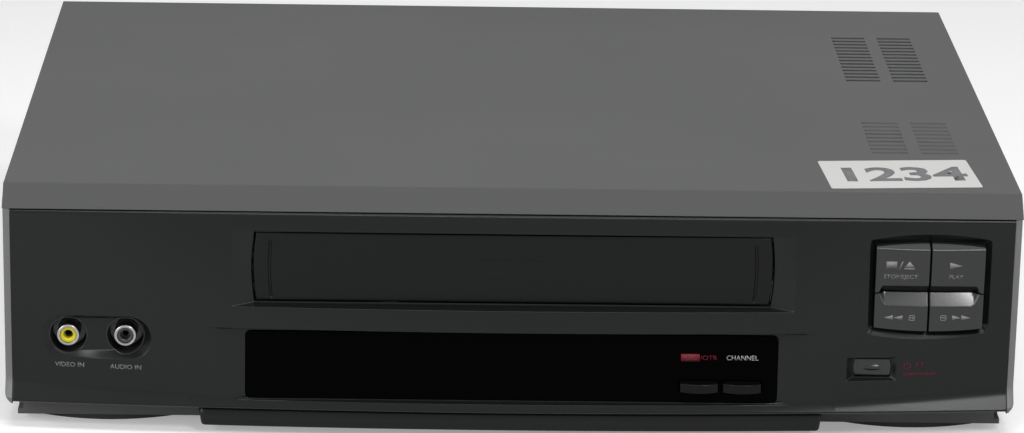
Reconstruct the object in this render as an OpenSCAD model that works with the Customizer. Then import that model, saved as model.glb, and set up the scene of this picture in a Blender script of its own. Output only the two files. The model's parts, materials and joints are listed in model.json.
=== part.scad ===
// Front-loading video cassette recorder, in millimetres.
// +X is to the viewer's right, +Y runs from the front to the back and +Z is up.
// The origin is the centre of the footprint, on the surface that the feet stand on.
// Inside the modules, y = 0 is the fold line along the top front edge of the cover.

/* [Casing] */
// Width over the side edges of the casing
body_w = 380; // [370:5:460]
// Depth from the front lip to the back edge of the cover
body_d = 285; // [280:5:345]
// Height from the feet to the top of the cover
body_h = 94; // [92:1:114]
// Thickness of the sheet steel cover
cover_t = 1; // [0.6:0.1:1.4]
// Run of the cover's slanted front fold, front to back
fold_run = 8; // [6:0.5:10]
// Height of the cover's slanted front fold
fold_drop = 7.7; // [6:0.1:10]
// Height of the feet
foot_h = 2.5; // [2:0.1:6]
// Thickness of the moulded base tray
tray_t = 2; // [1.5:0.1:3]

/* [Front panel] */
// Wall of the moulded front panel
panel_t = 2.4; // [1.8:0.1:3]
// Width of the chamfered edge at each side of the front
edge_w = 3; // [2:0.5:5]
// Forward bow of the front at its top edge, mid width
bow_top = 1.5; // [0:0.1:3]
// Forward bow of the front above the lip, mid width
bow_low = 11.1; // [6:0.1:12]
// Height of the front lip's edge
lip_z = 11.4; // [10:0.1:13]
// Reach of the lip's edge past the face at the ends
lip_reach = 4.6; // [3:0.1:6]
// Forward bow of the lip's edge, mid width
lip_bow = 7.4; // [4:0.1:8]
// Width of the deep middle of the front, under the lip
chin_w = 235; // [210:5:260]

/* [Cassette door] */
// Width of the cassette door
door_w = 193.2; // [192:0.2:210]
// Height of the visible part of the door
door_h = 26.9; // [26.5:0.1:30]
// Thickness of the door
door_t = 2.2; // [1.8:0.1:2.6]
// Distance from the top of the cover down to the door's top edge
door_drop = 15.2; // [14.5:0.1:18]
// Gap around the door and the other moving front pieces
gap = 0.4; // [0.3:0.05:0.6]
// Diameter of the steel hinge rod
rod_d = 2; // [1.6:0.1:2.4]

/* [Display window] */
// Width of the display window
window_w = 198.8; // [180:1:206]
// Height of the display window
window_h = 26; // [22:0.5:27]
// Height of the window's lower edge
window_z = 15.3; // [15:0.1:18]
// Thickness of the window
window_t = 2; // [1.5:0.1:2.4]
// Radius of the window's corners
window_r = 2; // [0.5:0.5:4]

/* [Keys] */
// Width of one tape key
key_w = 20.3; // [17:0.1:22]
// Height of one upper tape key
key_up_h = 18; // [15:0.1:18.5]
// Height of one lower tape key
key_low_h = 13.6; // [11:0.1:14]
// Distance from the right edge of the casing to the middle of the four keys
keys_in = 34.5; // [32:0.5:38]
// Travel of each key
key_travel = 1; // [0.6:0.1:1.2]
// Width of the power key
power_w = 13.6; // [11:0.1:16]
// Height of the power key
power_h = 7.2; // [6:0.1:8]
// Width of the two keys in the window
bar_w = 14.4; // [12:0.1:16]
// Height of the two keys in the window
bar_h = 3.6; // [3:0.1:4]

/* [Sockets] */
// Outer diameter of a phono socket's barrel
phono_d = 8.3; // [8.2:0.05:8.4]
// Length of a phono socket's free barrel
phono_len = 8.4; // [7.5:0.1:9]
// Distance between the two phono sockets on the front
phono_pitch = 21.3; // [18:0.1:24]
// Distance from the left edge of the casing to the middle of the front sockets
phono_in = 34.7; // [32:0.5:44]
// Diameter of the aerial sockets' collars
aerial_d = 9.5; // [9:0.1:10]

/* [Tape deck] */
// Inner width of the cassette holder
holder_w = 189; // [188:0.2:193]
// Inner height of the cassette holder
holder_h = 26; // [25.6:0.1:27]
// Depth of the cassette holder
holder_d = 106; // [100:1:110]
// Travel of the holder towards the drum
load_in = 30; // [20:1:32]
// Travel of the holder down to the reels
load_down = 21; // [16:0.5:22]
// Height of the deck plate's top face
deck_z = 21.6; // [20:0.1:23]
// Thickness of the deck plate
deck_t = 1.6; // [1.2:0.1:2]
// Diameter of the head drum
drum_d = 62; // [51:0.5:66]
// Tilt of the head drum, degrees
drum_tilt = 6; // [4:0.5:7]
// Distance between the two reel posts
reel_pitch = 92; // [90:1:98]
// Diameter of the reel tables
reel_d = 44; // [36:1:46]
// Diameter of the capstan shaft
capstan_d = 4; // [3:0.1:5]
// Radial clearance of each shaft in its bearing
fit_gap = 0.04; // [0.02:0.01:0.08]

/* [Hidden] */
$fn = 64;
eps = 0.01;

half_w = body_w / 2;
face_half = half_w - edge_w;
face_top = body_h - fold_drop - 0.3;
lip_front = fold_run + lip_reach + lip_bow;
rear_y = body_d - lip_front;
cover_low = 7;
lip_slope = 60;

door_top = body_h - door_drop;
door_z = door_top - door_h;
door_y = -9.6;
rod_y = door_y + 2.6;
rod_z = door_top + 2.2;
recess_w = 209;

window_top = window_z + window_h;
window_y = -15;
window_lean = 4.8;
window_recess_w = 234;
chin_z = 3.4;
cut_reach = 30;
panel_back = 2.6;

keys_x = half_w - keys_in;
keys_top = body_h - 17.7;
keys_split = keys_top - key_up_h;
keys_low = keys_split - key_low_h;
keys_left = keys_x - key_w - gap / 2;
keys_right = keys_x + key_w + gap / 2;
key_y = -12.4;
key_back = -4;
display_board_y = 1.4;
board_y = 4;
switch_h = 3.5;
power_x = keys_x - 20;
power_z = (keys_low + lip_z + 0.7) / 2;
record_x = 70.2;
channel_x = 86.3;
bar_z = window_z + 6.4;
bar_y = -18.6;

phono_x = -half_w + phono_in;
phono_z = 37.4;
phono_y = -9.4;
cup_d = 14.2;

rear_t = 1.5;
rear_in = phono_len - 0.4;
panel_y = rear_y - rear_in - rear_t;
scart_x = -25;
tuner_x = -150;
rear_phono_x = -88;
inlet_x = half_w - 42;
inlet_z = 36;

label_x = half_w - 71;
label_turn = 3.7;

holder_y = 23.5;
holder_t = 1;
holder_z = door_z - 0.5;
capstan_x = 62;
capstan_y = holder_y + holder_d + load_in + 13.5;
drum_y = capstan_y + drum_d / 2 - 1;
clutch_y = 124;
reel_y = holder_y + load_in + 51;
pinch_r = 7;
pinch_pivot = [88, capstan_y + 22];
pinch_open = 24;
cam_x = -124;
cam_y = 108;
psu_x = half_w - 44;
screw_d = 2.9;
screw_l = 5;
dish_d = 16;
dish_deep = 2;
side_screw_y = [48, rear_y - 45];
side_screw_z = 40;
rear_screws = [for (x = [14 - half_w, half_w - 14]) for (z = [18, body_h - 10]) [x, z]];
board_z = foot_h + tray_t + 2.5;
board_posts = [for (y = [60, 150, 230]) for (x = [-170, -20]) [x, y]];
power_posts = [for (y = [60, 240]) for (x = [psu_x - 28, psu_x + 28]) [x, y]];
deck_feet = [[-98, 166], [98, 232], [-60, 236]];

// Bow of the face at a height, and the face's y at a place
function bow_at(z) = bow_top + (bow_low - bow_top)
    * (1 - pow(max(0, 1 - (face_top - z) / (face_top - lip_z - 2)), 1.6));
function sag(x) = 1 - pow(min(1, abs(x) / face_half), 2);
function face_y(x, z) = -fold_run - bow_at(z) * sag(x);
function lip_y(x) = -fold_run - lip_reach - lip_bow * sag(x);

// Where a key's stem stops, just short of the plunger of a switch on a board
function stem_end(y) = y - switch_h - key_travel - 0.2;

// Moves a piece modelled from the fold line into the casing's frame
module from_fold() translate([0, -body_d / 2 + lip_front, 0]) children();

// A box given by its low corner and its high corner
module block(lo, hi) translate(lo) cube(hi - lo);

// A pair of pieces, mirrored left and right
module both_sides() {
    children();
    mirror([1, 0, 0]) children();
}

// A disc or post standing on a height
module post(x, y, z, d, h) translate([x, y, z]) cylinder(d = d, h = h);

// A round hole or rod along Y, starting at y
module rod_y_dir(x, y, z, d, h) translate([x, y, z]) rotate([-90, 0, 0]) cylinder(d = d, h = h);

// The face's solid from its bowed front to a flat back, with the slanted lip below, shrunk by
// an inset at all sides but the back. A skin of facets makes the front, a box the flat sides.
module face_solid(back, inset) {
    columns = 28;
    rows = 8;
    over = 5;
    w = face_half - inset;
    low = lip_z + inset;
    high = face_top - inset;
    xs = concat([-w - over], [for (i = [0:columns]) -w + 2 * w * i / columns], [w + over]);
    ring = [for (x = xs)
        let (rise = (face_y(x, lip_z + 2) - lip_y(x)) * tan(lip_slope),
             foot = lip_z + rise)
        concat([[x, back + over, low - over], [x, lip_y(x) + inset, low - over],
                [x, lip_y(x) + inset, low]],
            [for (j = [0:rows])
                let (z = foot + (high - foot) * j / rows)
                [x, face_y(x, z) + inset, z]],
            [[x, face_y(x, high) + inset, high + over], [x, back + over, high + over]])];
    n = rows + 6;
    last = len(xs) - 1;
    points = [for (c = ring) for (p = c) p];
    skin = [for (i = [0:last - 1]) for (j = [0:n - 1])
        let (a = i * n + j, b = i * n + (j + 1) % n)
        each [[a, b + n, a + n], [a, b, b + n]]];
    ends = [[for (j = [n - 1:-1:0]) j], [for (j = [0:n - 1]) last * n + j]];
    intersection() {
        polyhedron(points, concat(skin, ends));
        block([-w, -cut_reach, low], [w, back, high]);
    }
}

// A cutter whose sides flare forwards from y
module flare(x, w, z0, z1, y, side, down, up) {
    reach = cut_reach;
    hull() {
        block([x - w / 2, y - eps, z0], [x + w / 2, y, z1]);
        block([x - w / 2 - side * reach, y - reach, z0 - down * reach],
            [x + w / 2 + side * reach, y - reach + eps, z1 + up * reach]);
    }
}

// The window's leaning plane, with its origin at the middle of the lower edge
module on_window()
    translate([0, window_y, window_z]) rotate([-window_lean, 0, 0]) children();

// Slots in the cover: cut through over the power supply, only pressed in further forward
module vents(x, y, columns, rows, deep) {
    slot_l = 14;
    slot_w = 2.2;
    step_x = 19.3;
    step_y = 5.05;
    for (i = [0:columns - 1])
        for (j = [0:rows - 1])
            block([x + i * step_x, y + j * step_y, body_h - deep],
                [x + i * step_x + slot_l, y + j * step_y + slot_w, body_h + 1]);
}

// The dished seat of a side screw, pressed into the cover
module dish(d, deep) rotate_extrude() polygon([[2, -deep], [d / 2 - deep, -deep], [d / 2, 0],
    [d / 2, -cover_t], [d / 2 - deep, -deep - cover_t], [2, -deep - cover_t]]);

// Puts a piece at each of the four side screws, with its axis pointing out
module at_side_screws()
    both_sides()
        for (y = side_screw_y)
            translate([half_w, y, side_screw_z]) rotate([0, 90, 0]) children();

module top_cover() color("dimgray") from_fold() {
    difference() {
        union() {
            block([-half_w, 0, body_h - cover_t], [half_w, rear_y, body_h]);
            both_sides() block([half_w - cover_t, 3, cover_low], [half_w, rear_y, body_h]);
            translate([-half_w, 0, 0]) rotate([90, 0, 90]) linear_extrude(body_w)
                polygon([[0, body_h], [-fold_run, body_h - fold_drop],
                    [-fold_run + cover_t, body_h - fold_drop], [0.6, body_h - cover_t]]);
        }
        vents(keys_x - 16.6, 50.5, 2, 9, cover_t / 2);
        vents(keys_x - 16.6, 153, 2, 14, cover_t + 1);
        at_side_screws() translate([0, 0, -3]) cylinder(d = dish_d, h = 4);
    }
    at_side_screws() dish(dish_d, dish_deep);
}

// Pan-head screws: four at the cover's sides, four in the rear panel and three in the deck
module screw(head_d, head_h, shank_d, shank_l) {
    difference() {
        cylinder(d = head_d, h = head_h);
        for (a = [0, 90])
            rotate(a) translate([-head_d / 3, -0.4, head_h - 0.8]) cube([head_d / 1.5, 0.8, 1]);
    }
    translate([0, 0, -shank_l]) cylinder(d = shank_d, h = shank_l + eps);
}

module case_screws() color("silver") from_fold() {
    at_side_screws() translate([0, 0, -dish_deep]) screw(6.6, 1.9, screw_d, screw_l);
    for (p = rear_screws)
        translate([p[0], panel_y + rear_t, p[1]]) rotate([-90, 0, 0])
            screw(6, 2, screw_d, screw_l);
    for (p = deck_feet)
        translate([p[0], p[1], deck_z]) screw(6, 1.2, screw_d, screw_l);
}

module base_tray() color([0.09, 0.09, 0.1]) from_fold() {
    wall_x = half_w - cover_t - 0.5;
    z0 = foot_h;
    floor_z = foot_h + tray_t - eps;
    difference() {
        union() {
            block([-wall_x, 0, z0], [wall_x, panel_y - 0.3, z0 + tray_t]);
            both_sides() block([wall_x - tray_t, 6, z0], [wall_x, panel_y - 0.3, 62]);
            block([-face_half + 3, 0, z0], [face_half - 3, tray_t, lip_z - 0.8]);
            for (p = board_posts) post(p[0], p[1], floor_z, 6, board_z - floor_z);
            for (p = power_posts) post(p[0], p[1], floor_z, 6, board_z - floor_z);
            for (p = concat(deck_feet, [[-104, 28], [104, 28]]))
                post(p[0], p[1], floor_z, 8, deck_z - deck_t - floor_z);
            // Pads behind the side screws
            both_sides()
                for (y = side_screw_y)
                    block([wall_x - 6.4, y - 10, z0 + 1], [wall_x, y + 10, 50]);
        }
        for (p = deck_feet) post(p[0], p[1], deck_z - screw_l - 1, screw_d + 0.2, screw_l);
        for (i = [0:11])
            block([psu_x - 26, 70 + i * 9, z0 - 1], [psu_x + 26, 73 + i * 9, z0 + 4]);
        for (i = [0:11])
            block([-60, 40 + i * 12, z0 - 1], [0, 43 + i * 12, z0 + 4]);
        at_side_screws() {
            translate([0, 0, -dish_deep - cover_t - 0.3]) cylinder(d = dish_d + 1.6, h = 10);
            translate([0, 0, -12]) cylinder(d = screw_d + 0.2, h = 12);
        }
    }
}

// A foot whose front is an arc, seen from above
module foot(x, y, w, d, r) {
    translate([x, y, 0]) linear_extrude(foot_h) intersection() {
        translate([0, r]) circle(r, $fn = 128);
        translate([-w / 2, 0]) square([w, d]);
    }
}

module front_feet() color([0.07, 0.07, 0.08]) from_fold()
    both_sides() foot(half_w - 37.5, 1, 50, 22, 61);

module rear_feet() color([0.07, 0.07, 0.08]) from_fold()
    both_sides() foot(half_w - 37.5, rear_y - 45, 50, 22, 61);

// The bar with a chamfered outer corner that closes each end of the front, set off by a groove
module side_edge() {
    x0 = face_half + 0.5;
    groove_y = -fold_run + 1.2;
    difference() {
        linear_extrude(body_h) polygon([[face_half - 1, groove_y], [x0, groove_y],
            [x0, -fold_run], [half_w, -fold_run + edge_w - 0.5], [half_w, panel_back - 0.4],
            [face_half - 1, panel_back - 0.4]]);
        block([0, -20, -1], [half_w + 1, 10, 9.4]);
        translate([0, 0, body_h]) rotate([90, 0, 90]) linear_extrude(half_w + 1)
            polygon([[-fold_run - 2, -fold_drop - 2.6], [0.4, -1.5], [5, -1.5], [5, 4],
                [-fold_run - 2, 4]]);
    }
}

// The opening of each key, with a gap all round
module key_hole(x0, x1, z0, z1)
    block([x0 - gap, -cut_reach, z0 - gap], [x1 + gap, 3, z1 + gap]);

// Solid blocks behind the face, in which the recesses and cups are sunk
module recess_blocks() {
    block([-recess_w / 2, -cut_reach, door_z - 6], [recess_w / 2, door_y + 2, door_top + 1.2]);
    block([-window_recess_w / 2 - 2, -cut_reach, lip_z + 1],
        [window_recess_w / 2 + 2, window_y + 6.4, window_top + 3]);
    for (s = [-0.5, 0.5])
        rod_y_dir(phono_x + s * phono_pitch, -cut_reach, phono_z, cup_d + 4, cut_reach + 1);
    block([phono_x - 22.2, -cut_reach, phono_z - 10], [phono_x + 22.2, -4.6, phono_z + 10]);
    block([keys_left - 3, -cut_reach, keys_low - 5], [keys_right + 3, -3, keys_top + 3.4]);
    block([power_x - power_w, -cut_reach, power_z - 6], [power_x + power_w, -4, power_z + 6]);
}

// The deep middle of the front, under the lip
module chin() {
    n = 8;
    translate([0, 0, chin_z]) linear_extrude(lip_z + panel_t / 2 - chin_z)
        polygon([[-chin_w / 2 + 1.6, 0], [chin_w / 2 - 1.6, 0],
            [chin_w / 2, lip_y(chin_w / 2) + 4.5],
            for (i = [-n:n]) [-i * chin_w / (2 * n + 2), lip_y(i * chin_w / (2 * n + 2)) + 4],
            [-chin_w / 2, lip_y(chin_w / 2) + 4.5]]);
}

// Cuts for the cassette opening with its flared recess, and for the display window
module door_and_window_cuts() {
    block([-door_w / 2 - gap, -cut_reach, door_z - gap], [door_w / 2 + gap, 3, door_top + gap]);
    flare(0, door_w + 1.6, door_z - 0.6, door_top + 0.6, door_y, 1.3, 0.17, 0.5);
    on_window() {
        translate([0, 0.3, 0]) rotate([90, 0, 0]) linear_extrude(20)
            polygon([[-window_recess_w / 2 + 12, -1], [window_recess_w / 2 - 12, -1],
                [window_recess_w / 2, window_h + 1.2], [-window_recess_w / 2, window_h + 1.2]]);
        block([-window_w / 2 - 0.2, -9, -0.2],
            [window_w / 2 + 0.2, window_t + 0.2, window_h + 0.2]);
        block([-window_w / 2 + 4, -9, 3], [window_w / 2 - 4, 14, window_h - 3]);
    }
}

// Cuts for the tape keys in their recess, and for the power key
module key_cuts() {
    flare(keys_x, keys_right - keys_left + 1, keys_low - 1, keys_top + 0.6, -9.4, 0.6, 1, 0.8);
    key_hole(keys_left, keys_right, keys_low, keys_top);
    flare(power_x, power_w + 1.4, power_z - power_h / 2 - 0.6, power_z + power_h / 2 + 0.6,
        -8.6, 0.5, 0.7, 0.6);
    key_hole(power_x - power_w / 2, power_x + power_w / 2,
        power_z - power_h / 2, power_z + power_h / 2);
}

// Cuts for the oblong recess and the two cups of the front sockets
module socket_cuts() {
    for (s = [-0.5, 0.5]) {
        rod_y_dir(phono_x + s * phono_pitch * 1.16, -cut_reach, phono_z - 0.4, 16.5,
            cut_reach - 8.4);
        rod_y_dir(phono_x + s * phono_pitch, -cut_reach, phono_z, cup_d, cut_reach - 1);
        rod_y_dir(phono_x + s * phono_pitch, -cut_reach, phono_z, phono_d + 0.9, cut_reach + 4);
    }
    block([phono_x - phono_pitch * 0.58, -cut_reach, phono_z - 8.65],
        [phono_x + phono_pitch * 0.58, -8.4, phono_z + 7.85]);
}

module front_panel() color([0.19, 0.2, 0.2]) from_fold() {
    difference() {
        union() {
            difference() {
                face_solid(panel_back, 0);
                difference() {
                    face_solid(panel_back + 3, panel_t);
                    recess_blocks();
                }
            }
            chin();
        }
        door_and_window_cuts();
        key_cuts();
        socket_cuts();
        // Room for the door's knuckles and the hinge rod
        block([-door_w / 2 - 6, door_y + 0.2, door_top - 1], [door_w / 2 + 6, 3, face_top - 1.5]);
    }
    both_sides() side_edge();
    // Ears that hold the hinge rod
    both_sides() difference() {
        block([door_w / 2 + 3, door_y + 0.6, door_top - 3], [door_w / 2 + 5, 0, face_top - 1.4]);
        translate([door_w / 2, rod_y, rod_z]) rotate([0, 90, 0])
            cylinder(d = rod_d + 0.02, h = 9);
    }
}

module display_window() color([0.02, 0.02, 0.03]) from_fold()
    difference() {
        on_window() rotate([90, 0, 0]) translate([0, window_h / 2, -window_t])
            linear_extrude(window_t) offset(r = window_r, $fn = 24)
                square([window_w - 2 * window_r, window_h - 2 * window_r], center = true);
        for (x = [record_x, channel_x])
            key_hole(x - bar_w / 2, x + bar_w / 2, bar_z - bar_h / 2, bar_z + bar_h / 2);
    }

// The door hangs on knuckles behind the panel's upper edge and swings inwards
module cassette_door() color([0.1, 0.1, 0.11]) from_fold()
    difference() {
        union() {
            block([-door_w / 2, door_y, door_z], [door_w / 2, door_y + door_t, door_top]);
            both_sides() {
                block([door_w / 2 - 8, door_y + door_t - eps, door_z + 3],
                    [door_w / 2 - 6.8, door_y + 5.4, door_top - 1]);
                block([door_w / 2 - 8, door_y + 0.9, door_top - 6],
                    [door_w / 2 - 1, rod_y + 1, rod_z]);
                translate([door_w / 2 - 8, rod_y, rod_z]) rotate([0, 90, 0]) cylinder(d = 4.4, h = 7);
            }
        }
        both_sides() block([door_w / 2 - 6.4, door_y - 1, door_z + 2],
            [door_w / 2 - 6, door_y + 0.3, door_top - 3]);
        translate([-door_w / 2 - 1, rod_y, rod_z]) rotate([0, 90, 0])
            cylinder(d = rod_d + 2 * fit_gap, h = door_w + 2);
    }

module door_hinge_rod() color("silver") from_fold()
    translate([-door_w / 2 - 5, rod_y, rod_z]) rotate([0, 90, 0])
        cylinder(d = rod_d, h = door_w + 10);

// A light torsion spring around the rod, with one leg up to the panel
module door_spring() color("lightgray") from_fold() {
    wire = 0.4;
    for (i = [0:5])
        translate([door_w / 2 - 12 + i * 0.5, rod_y, rod_z]) rotate([0, 90, 0])
            rotate_extrude() translate([rod_d / 2 + 0.4, 0]) circle(d = wire + 0.12, $fn = 16);
    post(door_w / 2 - 12, rod_y + rod_d / 2 + 0.4, rod_z, wire, 3);
}

// One tape key: a bulged cap, a skirt behind it and a stem to its switch
module tape_key(x0, z0, h) {
    wall = 1.6;
    bulge_r = 40;
    x = x0 + key_w / 2;
    z = z0 + h / 2;
    difference() {
        union() {
            block([x0, key_y + 2.6, z0], [x0 + key_w, key_back, z0 + h]);
            intersection() {
                block([x0, key_y, z0], [x0 + key_w, key_y + 3, z0 + h]);
                translate([x0 - 1, key_y + bulge_r, z]) rotate([0, 90, 0])
                    cylinder(r = bulge_r, h = key_w + 2, $fn = 180);
            }
        }
        block([x0 + wall, key_y + 4, z0 + wall],
            [x0 + key_w - wall, key_back + 1, z0 + h - wall]);
    }
    rod_y_dir(x, key_y + 3, z, 4, stem_end(board_y) - key_y - 3);
}

module stop_key() color([0.16, 0.16, 0.17]) from_fold()
    tape_key(keys_left, keys_split + gap / 2, key_up_h - gap / 2);
module play_key() color([0.16, 0.16, 0.17]) from_fold()
    tape_key(keys_x + gap / 2, keys_split + gap / 2, key_up_h - gap / 2);
module rewind_key() color([0.16, 0.16, 0.17]) from_fold()
    tape_key(keys_left, keys_low, key_low_h - gap / 2);
module forward_key() color([0.16, 0.16, 0.17]) from_fold()
    tape_key(keys_x + gap / 2, keys_low, key_low_h - gap / 2);

module power_key() color([0.14, 0.14, 0.15]) from_fold() {
    front = -11;
    wall = 1.4;
    bulge_r = 10;
    x0 = power_x - power_w / 2;
    x1 = power_x + power_w / 2;
    z0 = power_z - power_h / 2;
    z1 = power_z + power_h / 2;
    difference() {
        union() {
            block([x0, front + 1.6, z0], [x1, key_back, z1]);
            intersection() {
                block([x0, front, z0], [x1, front + 2, z1]);
                translate([x0 - 1, front + bulge_r, power_z]) rotate([0, 90, 0])
                    cylinder(r = bulge_r, h = power_w + 2, $fn = 96);
            }
        }
        block([x0 + wall, front + 3, z0 + wall], [x1 - wall, key_back + 1, z1 - wall]);
    }
    rod_y_dir(power_x, front + 2.5, power_z, 3, stem_end(board_y) - front - 2.5);
}

// A thin bar key in the window, with a half-moon nose
module bar_key(x) {
    nose = 1.6;
    depth = 11;
    r = bar_w * bar_w / 8 / nose + nose / 2;
    translate([x, bar_y, bar_z - bar_h / 2]) linear_extrude(bar_h) union() {
        intersection() {
            translate([0, r]) circle(r, $fn = 180);
            translate([-bar_w / 2, 0]) square([bar_w, nose + eps]);
        }
        translate([-bar_w / 2, nose]) square([bar_w, depth - nose]);
    }
    rod_y_dir(x, bar_y + depth - 0.1, bar_z, 2.4, stem_end(display_board_y) - bar_y - depth + 0.1);
}

module record_key() color([0.12, 0.12, 0.13]) from_fold() bar_key(record_x);
module channel_key() color([0.12, 0.12, 0.13]) from_fold() bar_key(channel_x);

module key_board() color([0.45, 0.3, 0.12]) from_fold()
    difference() {
        block([power_x - 12, board_y, 16], [half_w - 6, board_y + 1.6, keys_top + 4]);
        for (z = [19, keys_top + 1]) rod_y_dir(half_w - 9, board_y - 1, z, 3, 4);
    }

// Push switches behind the keys
module switch_at(x, y, z) {
    block([x - 3, y - 2.5, z - 3], [x + 3, y, z + 3]);
    rod_y_dir(x, y - switch_h, z, 3.2, switch_h - 2.5 + eps);
}

module tact_switches() color([0.1, 0.1, 0.1]) from_fold() {
    for (x = [keys_left + key_w / 2, keys_right - key_w / 2]) {
        switch_at(x, board_y, keys_split + gap / 2 + (key_up_h - gap / 2) / 2);
        switch_at(x, board_y, keys_low + (key_low_h - gap / 2) / 2);
    }
    switch_at(power_x, board_y, power_z);
    for (x = [record_x, channel_x]) switch_at(x, display_board_y, bar_z);
}

module display_board() color([0.1, 0.3, 0.14]) from_fold()
    difference() {
        z0 = lip_z + panel_t + 0.3;
        block([-window_w / 2, display_board_y, z0],
            [window_w / 2, display_board_y + 1.6, window_top]);
        for (x = [-window_w / 2 + 5, window_w / 2 - 5]) rod_y_dir(x, 0, z0 + 3.5, 3, 5);
    }

module display_tube() color([0.1, 0.16, 0.16]) from_fold() {
    back = -3;
    block([-45, back - 3, window_z + 5], [35, back, window_top - 4]);
    // Leads to the board behind the tube
    for (i = [0:15])
        block([-43 + i * 5, back - eps, window_z + 7],
            [-42.4 + i * 5, display_board_y, window_z + 7.6]);
}

module socket_housing() color([0.12, 0.12, 0.13]) from_fold()
    difference() {
        union() {
            block([phono_x - phono_pitch / 2 - 9, 2.7, phono_z - 12],
                [phono_x + phono_pitch / 2 + 9, 12, phono_z + 9]);
            block([phono_x - phono_pitch / 2 - 9, 12 - eps, 10.2],
                [phono_x + phono_pitch / 2 + 9, 16, phono_z + 9]);
        }
        for (s = [-0.5, 0.5]) rod_y_dir(phono_x + s * phono_pitch, 0, phono_z, phono_d + 0.02, 8);
    }

// The plated barrel of a phono socket, with a thinner neck that sits in its housing
module phono_shell(len, neck) {
    r = phono_d / 2;
    rotate_extrude() polygon([[r - 0.7, 0.5], [r - 1.05, 0.4], [r - 1, 0.1], [r - 0.6, 0],
        [r - 0.2, 0], [r, 0.2], [r, len], [r - 0.2, len], [r - 0.2, len + neck],
        [r - 0.7, len + neck]]);
}

// The insulator fills the barrel and holds the contact sleeve in its bore
module phono_insulator(y, len) {
    translate([0, y, 0]) rotate([-90, 0, 0]) rotate_extrude() polygon([[1.75, 0.2],
        [2.1, 0], [phono_d / 2 - 1.1, 0], [phono_d / 2 - 0.72, 0.4], [phono_d / 2 - 0.72, len],
        [1.75, len]]);
}

module front_phono(s) translate([phono_x + s * phono_pitch, 0, phono_z]) children();
module video_socket_shell() color("silver") from_fold()
    front_phono(-0.5) translate([0, phono_y, 0]) rotate([-90, 0, 0]) phono_shell(phono_len, 7);
module audio_socket_shell() color("silver") from_fold()
    front_phono(0.5) translate([0, phono_y, 0]) rotate([-90, 0, 0]) phono_shell(phono_len, 7);
module video_socket_insulator() color("yellow") from_fold()
    front_phono(-0.5) phono_insulator(phono_y + 0.6, phono_len + 6);
module audio_socket_insulator() color([0.05, 0.05, 0.05]) from_fold()
    front_phono(0.5) phono_insulator(phono_y + 0.6, phono_len + 6);

scart_size = [47, 16.4];
scart_z = [24, 52];

// Outline of a two-row audio and video socket with one slanted corner
module scart_outline(w, h) polygon([[-w / 2, -h / 2], [w / 2, -h / 2], [w / 2, h / 2],
    [-w / 2 + h * 0.35, h / 2], [-w / 2, h * 0.15]]);

module scart_socket(z) translate([scart_x, rear_y, z]) rotate([90, 0, 0]) {
    difference() {
        translate([0, 0, 1]) linear_extrude(16) scart_outline(scart_size[0], scart_size[1]);
        translate([0, 0, -1]) linear_extrude(10)
            scart_outline(scart_size[0] - 2.4, scart_size[1] - 2.4);
        for (i = [0:9])
            for (row = [-1, 1])
                translate([-17.6 + i * 3.81, row * 2.6, 14]) cube([1, 2.4, 9], center = true);
    }
}

module upper_scart_socket() color([0.08, 0.08, 0.09]) from_fold() scart_socket(scart_z[1]);
module lower_scart_socket() color([0.08, 0.08, 0.09]) from_fold() scart_socket(scart_z[0]);

module rear_panel() color([0.4, 0.4, 0.42]) from_fold()
    difference() {
        block([-half_w + cover_t + 0.4, panel_y, foot_h + 0.2],
            [half_w - cover_t - 0.4, panel_y + rear_t, body_h - cover_t - 0.3]);
        for (z = scart_z)
            block([scart_x - scart_size[0] / 2 - 0.2, 0, z - scart_size[1] / 2 - 0.2],
                [scart_x + scart_size[0] / 2 + 0.2, rear_y, z + scart_size[1] / 2 + 0.2]);
        for (z = tuner_sockets) rod_y_dir(tuner_x, panel_y - 1, z, aerial_d + 2.4, 4);
        for (z = rear_phono_z) rod_y_dir(rear_phono_x, panel_y - 1, z, phono_d + 0.6, 4);
        block([inlet_x - 11.2, panel_y - 1, inlet_z - 8.2],
            [inlet_x + 11.2, panel_y + 3, inlet_z + 8.2]);
        for (p = rear_screws) rod_y_dir(p[0], panel_y - 1, p[1], screw_d + 0.2, 4);
        for (i = [0:8])
            block([inlet_x - 26 + i * 6, panel_y - 1, 54], [inlet_x - 23.4 + i * 6, panel_y + 3, 80]);
    }

rear_phono_z = [28, 48];
module rear_phono_sockets() color("silver") from_fold() {
    for (z = rear_phono_z) translate([rear_phono_x, 0, z]) {
        translate([0, rear_y - 0.4, 0]) rotate([90, 0, 0]) phono_shell(rear_in - 0.6, rear_t + 1.2);
        translate([0, rear_y - 0.9, 0]) rotate([90, 0, 0]) difference() {
            cylinder(d = phono_d - 1.44, h = 14);
            translate([0, 0, -1]) cylinder(d = 3.5, h = 12);
        }
    }
    difference() {
        block([rear_phono_x - 8, panel_y - 10, 14], [rear_phono_x + 8, panel_y - 0.1, 60]);
        for (z = rear_phono_z) rod_y_dir(rear_phono_x, panel_y - 11, z, phono_d - 1.44, 14);
    }
}

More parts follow.
